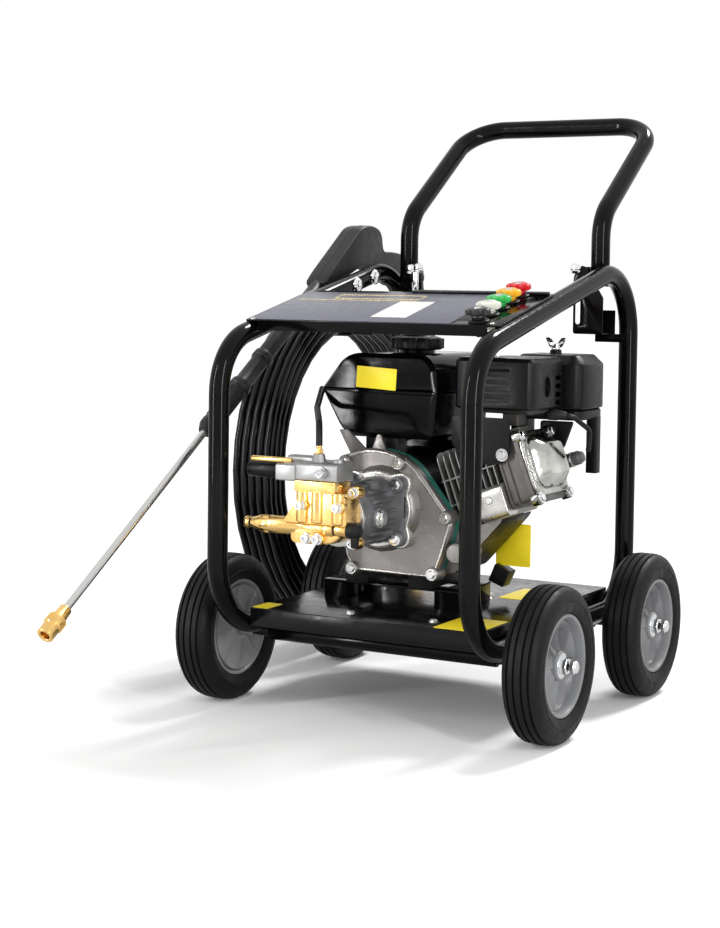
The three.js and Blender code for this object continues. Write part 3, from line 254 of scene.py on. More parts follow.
def bake(obj, smooth=35):
    """Keeps what the modifiers make as a plain mesh, smooth but for edges sharper than an angle."""
    shown = obj.evaluated_get(bpy.context.evaluated_depsgraph_get())
    mesh = bpy.data.meshes.new_from_object(shown)
    old = obj.data
    obj.modifiers.clear()
    obj.data = mesh
    if not old.users:
        bpy.data.meshes.remove(old)
    mesh.shade_smooth()
    mesh.set_sharp_from_angle(angle=math.radians(smooth))
    return obj


def round_edges(obj, width, segments=2, angle=30):
    tool = obj.modifiers.new("edges", "BEVEL")
    tool.width, tool.segments, tool.limit_method = width * MM, segments, "ANGLE"
    tool.angle_limit = math.radians(angle)
    tool.use_clamp_overlap = True


def hand_in(obj, paint, body, stands_for):
    """Gives a piece its finish, the body that it rides and the solids that it stands for."""
    obj.data.materials.clear()
    obj.data.materials.append(paint)
    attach(obj, body)
    if stands_for:
        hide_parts(*stands_for)
    return obj


def build(name, shapes, paint, body, group=LEVEL, edge=0, segments=2, smooth=35, stands_for=()):
    """A piece from shapes, which a group may turn and move first."""
    obj = joined(name, shapes, lambda v: place(*(group @ v)))
    if edge:
        round_edges(obj, edge, segments)
    return hand_in(bake(obj, smooth), paint, body, stands_for)


def dress(node, paint, edge=0.8, segments=2, smooth=38, angle=30):
    """A copy of a solid with its edges broken and its finish on, which stands for the solid."""
    mesh = frame["nodes"][node].data.copy()
    tool = bmesh.new()
    tool.from_mesh(mesh)
    bmesh.ops.remove_doubles(tool, verts=tool.verts, dist=1e-5)
    bmesh.ops.dissolve_limit(
        tool, angle_limit=math.radians(1.0), verts=tool.verts, edges=tool.edges,
    )
    tool.to_mesh(mesh)
    tool.free()
    obj = added(node + "_finished", mesh)
    round_edges(obj, edge, segments, angle)
    return hand_in(bake(obj, smooth), paint, BODY_OF[node], [node])


# %% [markdown]
# A finish is a colour, how sharply it reflects, and small changes in both. Real surfaces vary over
# centimetres, where hands and weather have been, and over tenths of a millimetre, where the mould
# or the sand left grain. An image could carry that, but it would need unwrapping and would show its
# seams. So each finish takes noises in the object's own coordinates: a slow one for colour, a
# medium one for roughness, and a fine one for the bump.


# %% Finish maker
def finish(
    name, colour, rough, metal, tint, grain, size, wear=0.08, stretch=(1, 1, 1), specular=0.5
):
    """Tint and wear are how far colour and roughness stray. Size is the grain's, in millimetres."""
    material = bpy.data.materials.new(name)
    material.use_nodes = True
    nodes, links = material.node_tree.nodes, material.node_tree.links
    shader = nodes["Principled BSDF"]
    shader.inputs["Metallic"].default_value = metal
    shader.inputs["Specular IOR Level"].default_value = specular
    where = nodes.new("ShaderNodeTexCoord")
    spread = nodes.new("ShaderNodeMapping")
    spread.inputs["Scale"].default_value = stretch
    links.new(where.outputs["Object"], spread.inputs["Vector"])

    def noise(scale, detail=2):
        node = nodes.new("ShaderNodeTexNoise")
        node.inputs["Scale"].default_value = scale
        node.inputs["Detail"].default_value = detail
        links.new(spread.outputs["Vector"], node.inputs["Vector"])
        return node.outputs["Fac"]

    darkest, palest = 0.3, 0.7
    shade = nodes.new("ShaderNodeValToRGB")
    first, last = shade.color_ramp.elements
    for element, position, gain in ((first, darkest, 1 - tint), (last, palest, 1 + tint)):
        element.position = position
        element.color = (*[min(1, c * gain) for c in colour], 1)
    links.new(noise(22, 4), shade.inputs["Fac"])
    links.new(shade.outputs["Color"], shader.inputs["Base Color"])
    dull = nodes.new("ShaderNodeMapRange")
    for socket, value in (
        ("From Min", darkest),
        ("From Max", palest),
        ("To Min", max(0.03, rough - wear)),
        ("To Max", rough + wear),
    ):
        dull.inputs[socket].default_value = value
    links.new(noise(90), dull.inputs["Value"])
    links.new(dull.outputs["Result"], shader.inputs["Roughness"])
    bump = nodes.new("ShaderNodeBump")
    bump.inputs["Strength"].default_value = grain
    bump.inputs["Distance"].default_value = 0.0002
    links.new(noise(1000 / size), bump.inputs["Height"])
    links.new(bump.outputs["Normal"], shader.inputs["Normal"])
    return material


black_enamel = finish(
    "black_enamel", (0.002, 0.002, 0.0024), 0.13, 0, 0.3, 0.04, 2.0, wear=0.04, specular=0.14,
)
hose_cover = finish(
    "hose_cover", (0.002, 0.002, 0.003), 0.14, 0, 0.2, 0.06, 1.4, wear=0.04, specular=0.26,
)
forged_brass = finish("forged_brass", (0.9, 0.59, 0.21), 0.24, 1, 0.12, 0.18, 1.2, wear=0.1)
print("first finishes", black_enamel.name, hose_cover.name, forged_brass.name)

# %% [markdown]
# Two bent rods on a plate carry the hose beside the left hoop. Straight pegs could hold a coil too,
# but it would slide off, so the real rods turn up at their ends. They are round bar with tight
# bends, which makes them a circle swept along a bent line, as later the tubes of the frame.

# %% Hose hanger
COIL_X, COIL_Y, COIL_Z, COIL_R = -283, 240, 293, 208  # COIL_X is the side next to the frame.
ROD_R, ROD_SPREAD, ROD_RISE = 4, 34, 26
HANGER_Z = COIL_Z + math.sqrt((COIL_R - 0.3) ** 2 - ROD_SPREAD**2) - ROD_R
rods = []
for y in (COIL_Y - ROD_SPREAD, COIL_Y + ROD_SPREAD):
    rod_line = bent(
        [
            ((-199.3, y, HANGER_Z + ROD_RISE), 0), ((COIL_X + 12, y, HANGER_Z + ROD_RISE), 10),
            ((COIL_X + 12, y, HANGER_Z), 10), ((COIL_X - 79, y, HANGER_Z), 12),
            ((COIL_X - 79, y, HANGER_Z + 42), 0),
        ],
        step=10,
    )
    rods.append(sweep(rod_line, ROD_R, 20))
build("hose_hanger_rods", rods, black_enamel, "cart", edge=0.6, stands_for=["hose_hanger"])
hanger_plate = rect(
    COIL_Y - ROD_SPREAD - 10, COIL_Y + ROD_SPREAD + 10, HANGER_Z + 14, HANGER_Z + 38, 6,
)
build(
    "hose_hanger_plate", [extrude("x", -200.3, -196.3, hanger_plate)], black_enamel, "cart",
    edge=0.8,
)
print("hanger at", round(HANGER_Z, 1))

# %% [markdown]
# The hose is one line about thirty metres long. It runs out of a brass coupling, winds from the
# inside out and from column to column, each turn a hose's width from the last, and runs into a
# second coupling. A stack of rings would look alike from afar, but no hose is made of rings. One
# line costs no more, and its length is real.

# %% Hose
HOSE = 13
HOSE_R = HOSE / 2 * 0.985  # A little under half the pitch, so that the turns lie apart.
FERRULE_X = COIL_X + 10.8
COLUMNS, LAYERS = 5, 4
IN_ANGLE, WIND_START, WIND_END, OUT_ANGLE = -35, -60, 84, 59
STEP_OVER = 0.14  # The share of a turn in which the hose moves to its next seat.


def on_coil(x, r, degrees):
    return round_axis("x", (COIL_Y, COIL_Z), x, r, math.radians(degrees))


def along_coil(degrees, direction):
    a = math.radians(degrees)
    return Vector((0, -math.sin(a), math.cos(a))) * direction


def seat(n):
    """Place across the coil and radius of turn n. The columns run there and back in layers."""
    layer, column = divmod(min(n, COLUMNS * LAYERS - 1), COLUMNS)
    column = column if layer % 2 == 0 else COLUMNS - 1 - column
    return COIL_X - HOSE * (column + 0.5), COIL_R + HOSE * (layer + 0.5)


def eased(t):
    t = max(0.0, min(1.0, t))
    return t * t * (3 - 2 * t)


def slide(x0, x1, r, start, end, steps):
    """The hose drifts sideways while it runs from one angle to another, in eighths."""
    return [on_coil(x0 + (x1 - x0) * eased(k / 8), r, start + (end - start) * k / 8) for k in steps]


first_x, first_r = seat(0)
last_x, last_r = seat(COLUMNS * LAYERS - 1)
hose_line = [on_coil(FERRULE_X, first_r, IN_ANGLE) + along_coil(IN_ANGLE, 1) * d for d in (20, 10)]
hose_line += slide(FERRULE_X, first_x, first_r, IN_ANGLE, WIND_START, range(9))
wound = 360 * (COLUMNS * LAYERS - 1) + (WIND_START - WIND_END) % 360
for degrees in range(10, wound + 1, 10):
    whole, part = divmod(degrees, 360)
    ease = eased((part / 360 - (1 - STEP_OVER)) / STEP_OVER)
    (x0, r0), (x1, r1) = seat(whole), seat(whole + 1)
    hose_line.append(on_coil(x0 + (x1 - x0) * ease, r0 + (r1 - r0) * ease, WIND_START - degrees))
hose_line += slide(last_x, FERRULE_X, last_r, WIND_END, OUT_ANGLE, range(1, 9))
hose_line += [
    on_coil(FERRULE_X, last_r, OUT_ANGLE) + along_coil(OUT_ANGLE, -1) * d
    for d in (10, 20)
]
hose = build(
    "hose", [sweep(hose_line, HOSE_R, 16)], hose_cover, "cart", smooth=80,
    stands_for=["hose_coil"],
)
FERRULE = [(-0.4, 6.9), (0, 8.2), (8, 8.6), (9, 8.2), (16, 8.6), (17, 8.2), (25.8, 8.6), (26, 8.4)]
SOCKET_RING = [(40, 9.2), (40.6, 10), (61, 10), (62, 9.2), (62, 6.4), (46, 6.2), (46, 1), (40, 1)]
for name, radius, angle, direction in (
    ("inner", first_r, IN_ANGLE, 1),
    ("outer", last_r, OUT_ANGLE, -1),
):
    outward = Vector((0, 1, 0)).rotation_difference(along_coil(angle, direction))
    hose_end = Matrix.Translation(on_coil(FERRULE_X, radius, angle)) @ outward.to_matrix().to_4x4()
    build(f"hose_coupling_{name}", [
        turn("y", (0, 0), FERRULE, 36),
        turn("y", (0, 0), [(26, 10.5), (36, 10.5)], 6),
        turn("y", (0, 0), [(36, 7.4), (40.2, 7.4)], 36),
        turn("y", (0, 0), SOCKET_RING, 36, True),
    ], forged_brass, "cart", hose_end, edge=0.3, stands_for=[f"hose_fitting_{name}"])

# %% [markdown]
# The other finishes. Blacks on this machine differ: enamelled tube is glossy, the tray and the
# mouldings are duller, rubber is matt. Cast aluminium is rough and slightly warm, and pressed
# covers are polished. One black and one grey could do, but the pieces would run into one another.
# So each material has its own gloss. After the colour, the numbers are roughness, metal, tint,
# grain and grain size.

# %% The other finishes
tray_enamel = finish(
    "tray_enamel", (0.003, 0.003, 0.0035), 0.18, 0, 0.3, 0.08, 1.0, wear=0.07, specular=0.2,
)
tyre_rubber = finish("tyre_rubber", (0.006, 0.006, 0.0065), 0.5, 0, 0.25, 0.35, 0.7, specular=0.16)
rim_plastic = finish("rim_plastic", (0.2, 0.203, 0.208), 0.4, 0, 0.1, 0.2, 0.8)
soft_rubber = finish("soft_rubber", (0.005, 0.005, 0.005), 0.45, 0, 0.25, 0.25, 0.6, specular=0.25)
cast_aluminium = finish("cast_aluminium", (0.27, 0.255, 0.245), 0.34, 0.8, 0.12, 0.55, 0.7)
fin_aluminium = finish("fin_aluminium", (0.3, 0.3, 0.285), 0.38, 0.85, 0.15, 0.4, 0.7)
head_casting = finish("head_casting", (0.13, 0.122, 0.115), 0.45, 0.5, 0.2, 0.5, 0.7)
# A near-black casting: the colour of the dark brackets, and painted shade on the crankcase and the
# cylinder core.
dark_and_shade_casting = finish(
    "dark_and_shade_casting", (0.007, 0.007, 0.0075), 0.4, 0.3, 0.2, 0.4, 0.7, specular=0.25,
)
turned_aluminium = finish("turned_aluminium", (0.6, 0.585, 0.56), 0.26, 0.9, 0.08, 0.12, 0.5)
bright_pressing = finish("bright_pressing", (0.5, 0.5, 0.47), 0.12, 1, 0.5, 0.05, 3.0, wear=0.05)
pump_casting = finish("pump_casting", (0.15, 0.153, 0.16), 0.4, 0.45, 0.15, 0.5, 0.7)
unloader_casting = finish("unloader_casting", (0.36, 0.36, 0.36), 0.36, 0.8, 0.12, 0.45, 0.7)
zinc = finish("zinc", (0.66, 0.66, 0.64), 0.26, 1, 0.12, 0.08, 0.8)
chrome = finish("chrome", (0.8, 0.81, 0.82), 0.08, 1, 0.04, 0.02, 3.0, wear=0.04)
blackened_steel = finish(
    "blackened_steel", (0.006, 0.006, 0.0065), 0.28, 0.3, 0.2, 0.1, 0.8, specular=0.25,
)
lance_steel = finish(
    "lance_steel", (0.6, 0.6, 0.59), 0.22, 1, 0.1, 0.1, 0.5, stretch=(1, 0.08, 0.08),
)
moulded_black = finish(
    "moulded_black", (0.004, 0.004, 0.0043), 0.32, 0, 0.2, 0.25, 0.5, specular=0.18,
)
grip_black = finish("grip_black", (0.01, 0.01, 0.0105), 0.4, 0, 0.15, 0.3, 0.5, specular=0.3)
tank_enamel = finish(
    "tank_enamel", (0.0015, 0.0015, 0.002), 0.1, 0, 0.2, 0.05, 3.0, wear=0.03, specular=0.14,
)
heat_grey = finish("heat_grey", (0.06, 0.055, 0.05), 0.5, 0.5, 0.25, 0.3, 0.8)
gasket_teal = finish("gasket_teal", (0.012, 0.11, 0.085), 0.6, 0, 0.15, 0.2, 0.5)
seam_grey = finish("seam_grey", (0.06, 0.06, 0.065), 0.4, 0, 0.1, 0.1, 0.5)
label_slate = finish("label_slate", (0.1, 0.1, 0.14), 0.3, 0, 0.05, 0.03, 2.0, wear=0.05)
label_white = finish("label_white", (0.82, 0.82, 0.8), 0.3, 0, 0.03, 0.03, 2.0, wear=0.05)
label_gold = finish("label_gold", (0.7, 0.56, 0.25), 0.3, 0.2, 0.03, 0.03, 2.0, wear=0.05)
tag_yellow = finish("tag_yellow", (0.97, 0.76, 0.02), 0.4, 0, 0.05, 0.1, 1.0)
print("finishes", len(bpy.data.materials))

# %% [markdown]
# Screws, ribs, knurls and blades repeat. They could be copied one by one, but then a change is made
# many times. So Geometry Nodes sets them out: one small template is placed on every point of a
# list, its Z axis turned to the point's aim and its X axis to the point's along. The tree makes the
# instances real and gives them their finish, and the result is kept as a plain mesh.


# %% The set-out tree
def set_out_tree():
    tree = bpy.data.node_groups.new("set_out", "GeometryNodeTree")
    for name, way, kind in (
        ("Points", "INPUT", "Geometry"),
        ("Piece", "INPUT", "Object"),
        ("Size", "INPUT", "Float"),
        ("Finish", "INPUT", "Material"),
        ("Pieces", "OUTPUT", "Geometry"),
    ):
        tree.interface.new_socket(name, in_out=way, socket_type="NodeSocket" + kind)
    nodes, links = tree.nodes, tree.links
    given, out = nodes.new("NodeGroupInput"), nodes.new("NodeGroupOutput")
    info = nodes.new("GeometryNodeObjectInfo")
    info.transform_space = "ORIGINAL"
    links.new(given.outputs["Piece"], info.inputs["Object"])
    turns = []
    for name, axis, pivot in (("aim", "Z", "AUTO"), ("along", "X", "Z")):
        read = nodes.new("GeometryNodeInputNamedAttribute")
        read.data_type = "FLOAT_VECTOR"
        read.inputs["Name"].default_value = name
        align = nodes.new("FunctionNodeAlignRotationToVector")
        align.axis, align.pivot_axis = axis, pivot
        links.new(read.outputs["Attribute"], align.inputs["Vector"])
        if turns:
            links.new(turns[-1].outputs["Rotation"], align.inputs["Rotation"])
        turns.append(align)
    put = nodes.new("GeometryNodeInstanceOnPoints")
    links.new(given.outputs["Points"], put.inputs["Points"])
    links.new(info.outputs["Geometry"], put.inputs["Instance"])
    links.new(turns[-1].outputs["Rotation"], put.inputs["Rotation"])
    links.new(given.outputs["Size"], put.inputs["Scale"])
    real = nodes.new("GeometryNodeRealizeInstances")
    links.new(put.outputs["Instances"], real.inputs["Geometry"])
    paint = nodes.new("GeometryNodeSetMaterial")
    links.new(real.outputs["Geometry"], paint.inputs["Geometry"])
    links.new(given.outputs["Finish"], paint.inputs["Material"])
    links.new(paint.outputs["Geometry"], out.inputs["Pieces"])
    return tree


SET_OUT = set_out_tree()
sockets = SET_OUT.interface.items_tree
SOCKET = {item.name: item.identifier for item in sockets if item.in_out == "INPUT"}
print("set-out inputs", SOCKET)

# %% [markdown]
# A template is modelled once, at the middle of the scene, with its foot on the ground and its head
# up. Three kinds of screw serve the whole machine: hexagon heads on castings, socket heads on the
# pump, and domed heads on sheet. Each is turned with a radius of one millimetre, so that Size is
# the radius it gets when it is set out.

# %% Templates
TEMPLATES = {}
UP, RIGHT, FORWARD, BACKWARD = (0, 0, 1), (1, 0, 0), (0, -1, 0), (0, 1, 0)


def template(name, shapes, edge=0, segments=2):
    obj = joined(name, shapes, lambda v: v * MM)
    if edge:
        round_edges(obj, edge, segments)
    TEMPLATES[name] = bake(obj, 30)


def rib(length, foot, crown):
    """A bar along X. Its foot and its crown are (half width, height, reach of the corner)."""
    (wide, low, soft), (narrow, high, softer) = foot, crown
    return extrude(
        "x", -length / 2, length / 2,
        [(-wide, low, soft), (wide, low, soft), (narrow, high, softer), (-narrow, high, softer)],
    )


def set_out(name, piece, spots, paint, body, size=1.0, group=LEVEL):
    """Spots are (point, aim, along) in millimetres and directions."""
    mesh = bpy.data.meshes.new(name)
    spin = group.to_3x3()
    mesh.from_pydata([place(*(group @ Vector(spot[0]))) for spot in spots], [], [])
    for k, label in ((1, "aim"), (2, "along")):
        layer = mesh.attributes.new(label, "FLOAT_VECTOR", "POINT")
        for i, spot in enumerate(spots):
            layer.data[i].vector = spin @ Vector(spot[k])
    obj = added(name, mesh)
    tool = obj.modifiers.new("set_out", "NODES")
    tool.node_group = SET_OUT
    for socket, value in (("Piece", TEMPLATES[piece]), ("Size", size), ("Finish", paint)):
        tool[SOCKET[socket]] = value
    obj.update_tag()
    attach(bake(obj, 30), body)


def circle_spots(axis, centre, distance, radius, count, start=0.0):
    """Points round an axis, aimed outwards from it, with X along it."""
    angles = [start + 2 * math.pi * k / count for k in range(count)]
    lead = on_axis(axis, 1, 0, 0)
    return [
        (round_axis(axis, centre, distance, radius, a), round_axis(axis, (0, 0), 0, 1, a), lead)
        for a in angles
    ]


template("hex_head", [
    turn("z", (0, 0), [(0, 1.0), (0.5, 1.0), (0.6, 0.9)], 6),
    turn("z", (0, 0), [(0, 1.3), (0.12, 1.3)], 24),
    turn("z", (0, 0), [(0.55, 0.8), (0.66, 0.7)], 24),
])
template(
    "socket_head",
    [turn("z", (0, 0), [(0, 1.0), (0.9, 1.0), (1.0, 0.92), (1.0, 0.6), (0.45, 0.55)], 24)],
)
template(
    "dome_head",
    [turn("z", (0, 0), [(0, 1.0), (0.12, 1.0), (0.35, 0.85), (0.5, 0.55), (0.56, 0.2)], 24)],
)
print("templates", sorted(TEMPLATES))

# %% [markdown]
# The two side hoops are one piece of steel tube each, bent four times and painted gloss black, and
# the push handle is bent from the same tube. The solid has flat facets round it, and smoothing them
# would soften the ends too. A circle swept along the same straight runs and arcs gives a truly
# round tube.

# %% Frame tubes
TUBE_R = 13.5
HOOP_X, HOOP_FRONT, HOOP_BACK, HOOP_LOW = 182.5, -302, 213, 114
DECK_LOW, DECK_RISE = 491, 0.2345
HANDLE_X = 154.5
HANDLE_SIDE = [(170, 573, 0), (170, 671, 60), (381, 819, 60)]  # y, z and bend radius.


def deck_z(y):
    """Height of the sloping run on top of the hoops."""
    return DECK_LOW + DECK_RISE * (y - HOOP_FRONT)


for name, x in (("left", -HOOP_X), ("right", HOOP_X)):
    hoop_line = bent(
        [
            ((x, HOOP_FRONT, HOOP_LOW), 95),
            ((x, HOOP_BACK, HOOP_LOW), 80),
            ((x, HOOP_BACK, deck_z(HOOP_BACK)), 85),
            ((x, HOOP_FRONT, deck_z(HOOP_FRONT)), 80),
        ],
        closed=True,
    )
    build(f"hoop_{name}", [sweep(hoop_line, TUBE_R, 32, True)], black_enamel, "cart",
          stands_for=[f"frame_hoop_{name}"])
handle_line = bent([((-HANDLE_X, y, z), bend) for y, z, bend in HANDLE_SIDE]
                   + [((HANDLE_X, y, z), bend) for y, z, bend in reversed(HANDLE_SIDE)])
build(
    "push_handle", [sweep(handle_line, TUBE_R, 32)], black_enamel, "handle", edge=1,
    stands_for=["handle_tube"],
)
print("hoop points", len(hoop_line), "handle points", len(handle_line))

# %% [markdown]
# Each wheel is a grooved rubber tyre on a moulded grey rim. The tyre is turned from one closed
# profile with grooves cut round it. The rim's dish holds eight fanned blades: each rises slowly
# from a rounded pocket to a straight edge and drops there. Cutting the pockets out of a disc would
# give hard corners. The height follows from radius and angle, so a grid of points round the hub
# makes it, which no turned profile could.

# %% Wheels
WHEEL_X = 240.5
TYRE_HALF = [
    (0, 100), (3.6, 100), (4.2, 96.8), (6.2, 96.8), (6.8, 100), (12.6, 99.4), (13.2, 96.2),
    (15.2, 96), (15.8, 98.8), (19.5, 97), (22.8, 93.5), (24.8, 89.5), (25.8, 85), (26, 81.5),
    (25.3, 81), (25.3, 79.6), (26, 79), (25.6, 75), (24.4, 71), (23.4, 68.8), (22.6, 67.6),
    (21.5, 66.1),
]
TYRE_PROFILE = [(-x, r) for x, r in reversed(TYRE_HALF[1:])] + TYRE_HALF
RIM_PROFILE = [
    (-22, 8.3), (-22, 19), (-16, 21), (-14, 58), (-21, 62), (-21, 65.2), (20.6, 65.2), (21.8, 64.4),
    (21.8, 61.8), (20.4, 60.4), (12, 58.6), (-8, 57), (-11, 50), (-11, 24), (-6, 20), (15, 19),
    (17, 17.5), (17, 14), (15, 13), (15, 8.3),
]
BLADE_COUNT, BLADE_STEPS = 8, 9
BLADE_FROM, BLADE_REACH = 20, 37
BLADE_TOP, BLADE_FALL, POCKET_DEPTH = 13, 5, 20
DISH_LOW, DISH_WALL = -9.6, 2.9
DISH_RADII = [19, 22, 27, 32, 37, 42, 46, 50, 53, 55.5, 57, 57.8]


def blade_height(u, r):
    """Height of the dish at a radius, a share u of the way from a pocket to its edge."""
    out = (r - BLADE_FROM) / BLADE_REACH
    pocket = (1 - u) ** 1.3 * (1 - out**6) * min(1, 0.25 + 2.2 * out)
    return BLADE_TOP - BLADE_FALL * out - POCKET_DEPTH * pocket


def dish(middle, hand, centre, low=DISH_LOW, scale=1.0):
    """Blades that face outwards along a hand, from a low level up, on a disc behind them."""
    around = []
    for i in range(BLADE_COUNT):
        around += [
            ((i + k / BLADE_STEPS) / BLADE_COUNT, k / BLADE_STEPS)
            for k in range(BLADE_STEPS)
        ]
        around.append(((i + 1 - 0.02) / BLADE_COUNT, 1.0))
    verts = []
    for layer in (0, 1):
        for r in DISH_RADII:
            for share, u in around:
                x = low + scale * (blade_height(u, r) - DISH_LOW) if layer else low - DISH_WALL
                verts.append(
                    round_axis("x", centre, middle + hand * x, r, 2 * math.pi * share * hand),
                )
    n, rows = len(around), len(DISH_RADII)
    faces = skin(rows, n) + skin(rows, n, first=rows * n)
    for j in (0, rows - 1):
        faces += band(j * n, (j + rows) * n, n)
    return verts, faces


WHEELS = {"front_left": (-1, FRONT_AXLE_Y), "front_right": (1, FRONT_AXLE_Y),
          "rear_left": (-1, REAR_AXLE_Y), "rear_right": (1, REAR_AXLE_Y)}
for name, (hand, y) in WHEELS.items():
    centre = (y, HUB_Z)
    middle = hand * WHEEL_X
    body = "wheel_" + name
    build(
        f"tyre_{name}_rubber",
        [turn("x", centre, [(middle + x, r) for x, r in TYRE_PROFILE], 96, True)], tyre_rubber,
        body, smooth=40, stands_for=["tyre_" + name],
    )
    build(
        f"rim_{name}_moulding",
        [turn("x", centre, [(middle + hand * x, r) for x, r in RIM_PROFILE], 72, True)],
        rim_plastic, body, edge=0.5, stands_for=["rim_" + name],
    )
    build(f"rim_{name}_blades", [dish(middle, hand, centre)], rim_plastic, body, smooth=40)
    build(
        f"rim_{name}_back", [dish(middle, -hand, centre, 15.2, 0.28)], rim_plastic, body, smooth=40,
    )
print("wheels", len(WHEELS))

# %% [markdown]
# An axle is a bar in a tube: black and painted between the hoops, zinc-plated outside them, with a
# spacer, a chrome washer, a nut, and a domed lock nut on the thread's end. It doesn't turn, so it
# belongs to the cart. A nut is a turned profile with six sides, which is quicker than a hexagon
# drawn and extruded, and each profile is written for the right side and mirrored for the left.


# %% Axles
def on_side(hand, profile, sides=32):
    """A profile of (distance from the middle, radius), turned about the axle on one side."""
    return turn("x", (axle_y, HUB_Z), [(hand * x, r) for x, r in profile], sides)


for name, axle_y in (("front", FRONT_AXLE_Y), ("rear", REAR_AXLE_Y)):
    build(
        f"{name}_axle_tube", [turn("x", (axle_y, HUB_Z), [(-168.7, 12), (168.7, 12)], 40)],
        black_enamel, "cart", edge=0.6, stands_for=[f"{name}_axle"],
    )
    bars, spacers, nuts = [], [], []
    for hand in (-1, 1):
        bars += [on_side(hand, [(168, 8), (266, 8)]), on_side(hand, [(264, 4.6), (275, 4.6)], 24)]
        spacers.append(on_side(hand, [(196.6, 11), (218, 11)]))
        nuts += [
            on_side(hand, [(256, 16), (257.6, 16)], 40),
            on_side(hand, [(257.6, 11), (265, 11), (266.4, 9.8)], 6),
            on_side(hand, [(270, 9.4), (275, 9.4), (276, 8.6)], 6),
            on_side(hand, [(275.6, 8), (277.6, 7), (278.6, 4.5)], 24),
        ]
    build(f"{name}_axle_bar", bars, blackened_steel, "cart", edge=0.2)
    build(f"{name}_axle_spacers", spacers, zinc, "cart", edge=0.4)
    build(f"{name}_axle_nuts", nuts, chrome, "cart", edge=0.3)
print("nuts and washers on each axle", len(nuts))

# %% [markdown]
# The tray and the top panel are folded sheet. They could be folded again from a flat outline, but
# their solids are right already and only need their edges broken. On the panel lie bare plates and
# a raised black strip along the back. A group turned by the slope of the panel lets its parts be
# placed as if it were level.

# %% Top panel
SLOPE = math.atan(DECK_RISE)
PANEL_FRONT = -232
PANEL = Matrix.Translation((0, PANEL_FRONT, deck_z(PANEL_FRONT))) @ Matrix.Rotation(SLOPE, 4, "X")
PANEL_LENGTH = 168 / math.cos(SLOPE)
PANEL_TOP = TUBE_R + 0.3 + 2.5
GOLD_LINES = [
    (-119, 14, 143.6, 146), (-119, -116.8, 123, 146), (11.8, 14, 123, 146), (-119, 14, 123, 125.2),
    (-172, 14, 114, 115.4),
]


def on_panel(low, high, outline):
    """A piece of sheet on the panel, between two heights over its top."""
    return extrude("z", PANEL_TOP + low, PANEL_TOP + high, outline)


dress("base_tray", tray_enamel, 1.4, 3)
dress("top_panel", black_enamel, 0.8, 2)
build(
    "panel_plate", [on_panel(0, 0.8, rect(-182, 116, 3, PANEL_LENGTH - 14, 3))], label_slate,
    "cart", PANEL, edge=0.15,
)
build("panel_field", [on_panel(0.6, 1.1, rect(-10, 42, 26, 112, 2))], label_white, "cart", PANEL)
build(
    "panel_lines", [on_panel(0.6, 1.1, rect(*line)) for line in GOLD_LINES], label_gold, "cart",
    PANEL,
)
build("panel_strip", [on_panel(-0.2, 3.2, rect(-20, 181, PANEL_LENGTH - 9, PANEL_LENGTH - 0.5, 2))],
      moulded_black, "cart", PANEL, edge=1)
print("panel top", PANEL_TOP, "length", round(PANEL_LENGTH, 1))

# %% [markdown]
# Five spray tips stand in rubber rings on the panel, each with a colour that tells its angle. A tip
# is a turned core with two flat ears to pull it by. They could be modelled one by one, but only the
# colour, the name and the place change, so one loop makes all five from the same two outlines.

# %% Spray tips
TIP_COLOURS = {
    "black": (0.012, 0.012, 0.013),
    "white": (0.7, 0.72, 0.62),
    "green": (0.03, 0.42, 0.08),
    "yellow": (0.85, 0.42, 0.02),
    "red": (0.62, 0.01, 0.02),
}
TIP_FOOT = PANEL_TOP + 0.3
TIP_CORE = [
    (-20, 4.2), (-19, 5.4), (1, 5.4), (3.5, 8.6), (5, 8.8), (6.5, 10), (8, 9), (9.5, 10.6),
    (16.5, 11.2), (17.5, 10.2),
]
TIP_EAR = [
    (-16.4, 8.6, 2), (-5, 6.5, 1), (5, 6.5, 1), (16.4, 8.6, 2), (16.4, 16, 3), (9, 17.6, 3),
    (-9, 17.6, 3), (-16.4, 16, 3),
]
RING = [(-0.2, 7.4), (-0.2, 13), (1.4, 13.6), (2.4, 12.4), (2.6, 10), (2.6, 8.6)]
tip_places = {name: (149 - 1.5 * i, 19.0 + 34.5 * i) for i, name in enumerate(TIP_COLOURS)}


def upright_from(base, centre, profile, sides, ring=False):
    """A profile turned about a line square to the panel, from a base height."""
    return turn("z", centre, [(base + d, r) for d, r in profile], sides, ring)


build(
    "tip_rings",
    [upright_from(PANEL_TOP, centre, RING, 40, True) for centre in tip_places.values()],
    soft_rubber, "cart", PANEL,
)
for name, (x, y) in tip_places.items():
    paint = finish("tip_" + name, TIP_COLOURS[name], 0.3, 0, 0.06, 0.1, 0.6)
    core = upright_from(TIP_FOOT, (x, y), TIP_CORE, 36)
    ears = extrude("y", y - 4, y + 4, [(x + a, TIP_FOOT + b, reach) for a, b, reach in TIP_EAR])
    build(
        f"tip_{name}_moulding", [core, ears], paint, "tip_" + name, PANEL, edge=0.7,
        stands_for=["tip_" + name],
    )
    build(
        f"tip_{name}_orifice", [upright_from(TIP_FOOT, (x, y), [(17.3, 5), (17.9, 4.6)], 24)], zinc,
        "tip_" + name, PANEL,
    )
print("tips", list(tip_places))

# %% [markdown]
# Rivets hold the panel, bolts hold the engine to the tray, and three bare yellow plates lie on the
# tray. They are flat sheet, half a millimetre thick: real thickness costs four faces and gives an
# edge that a painted patch would lack.

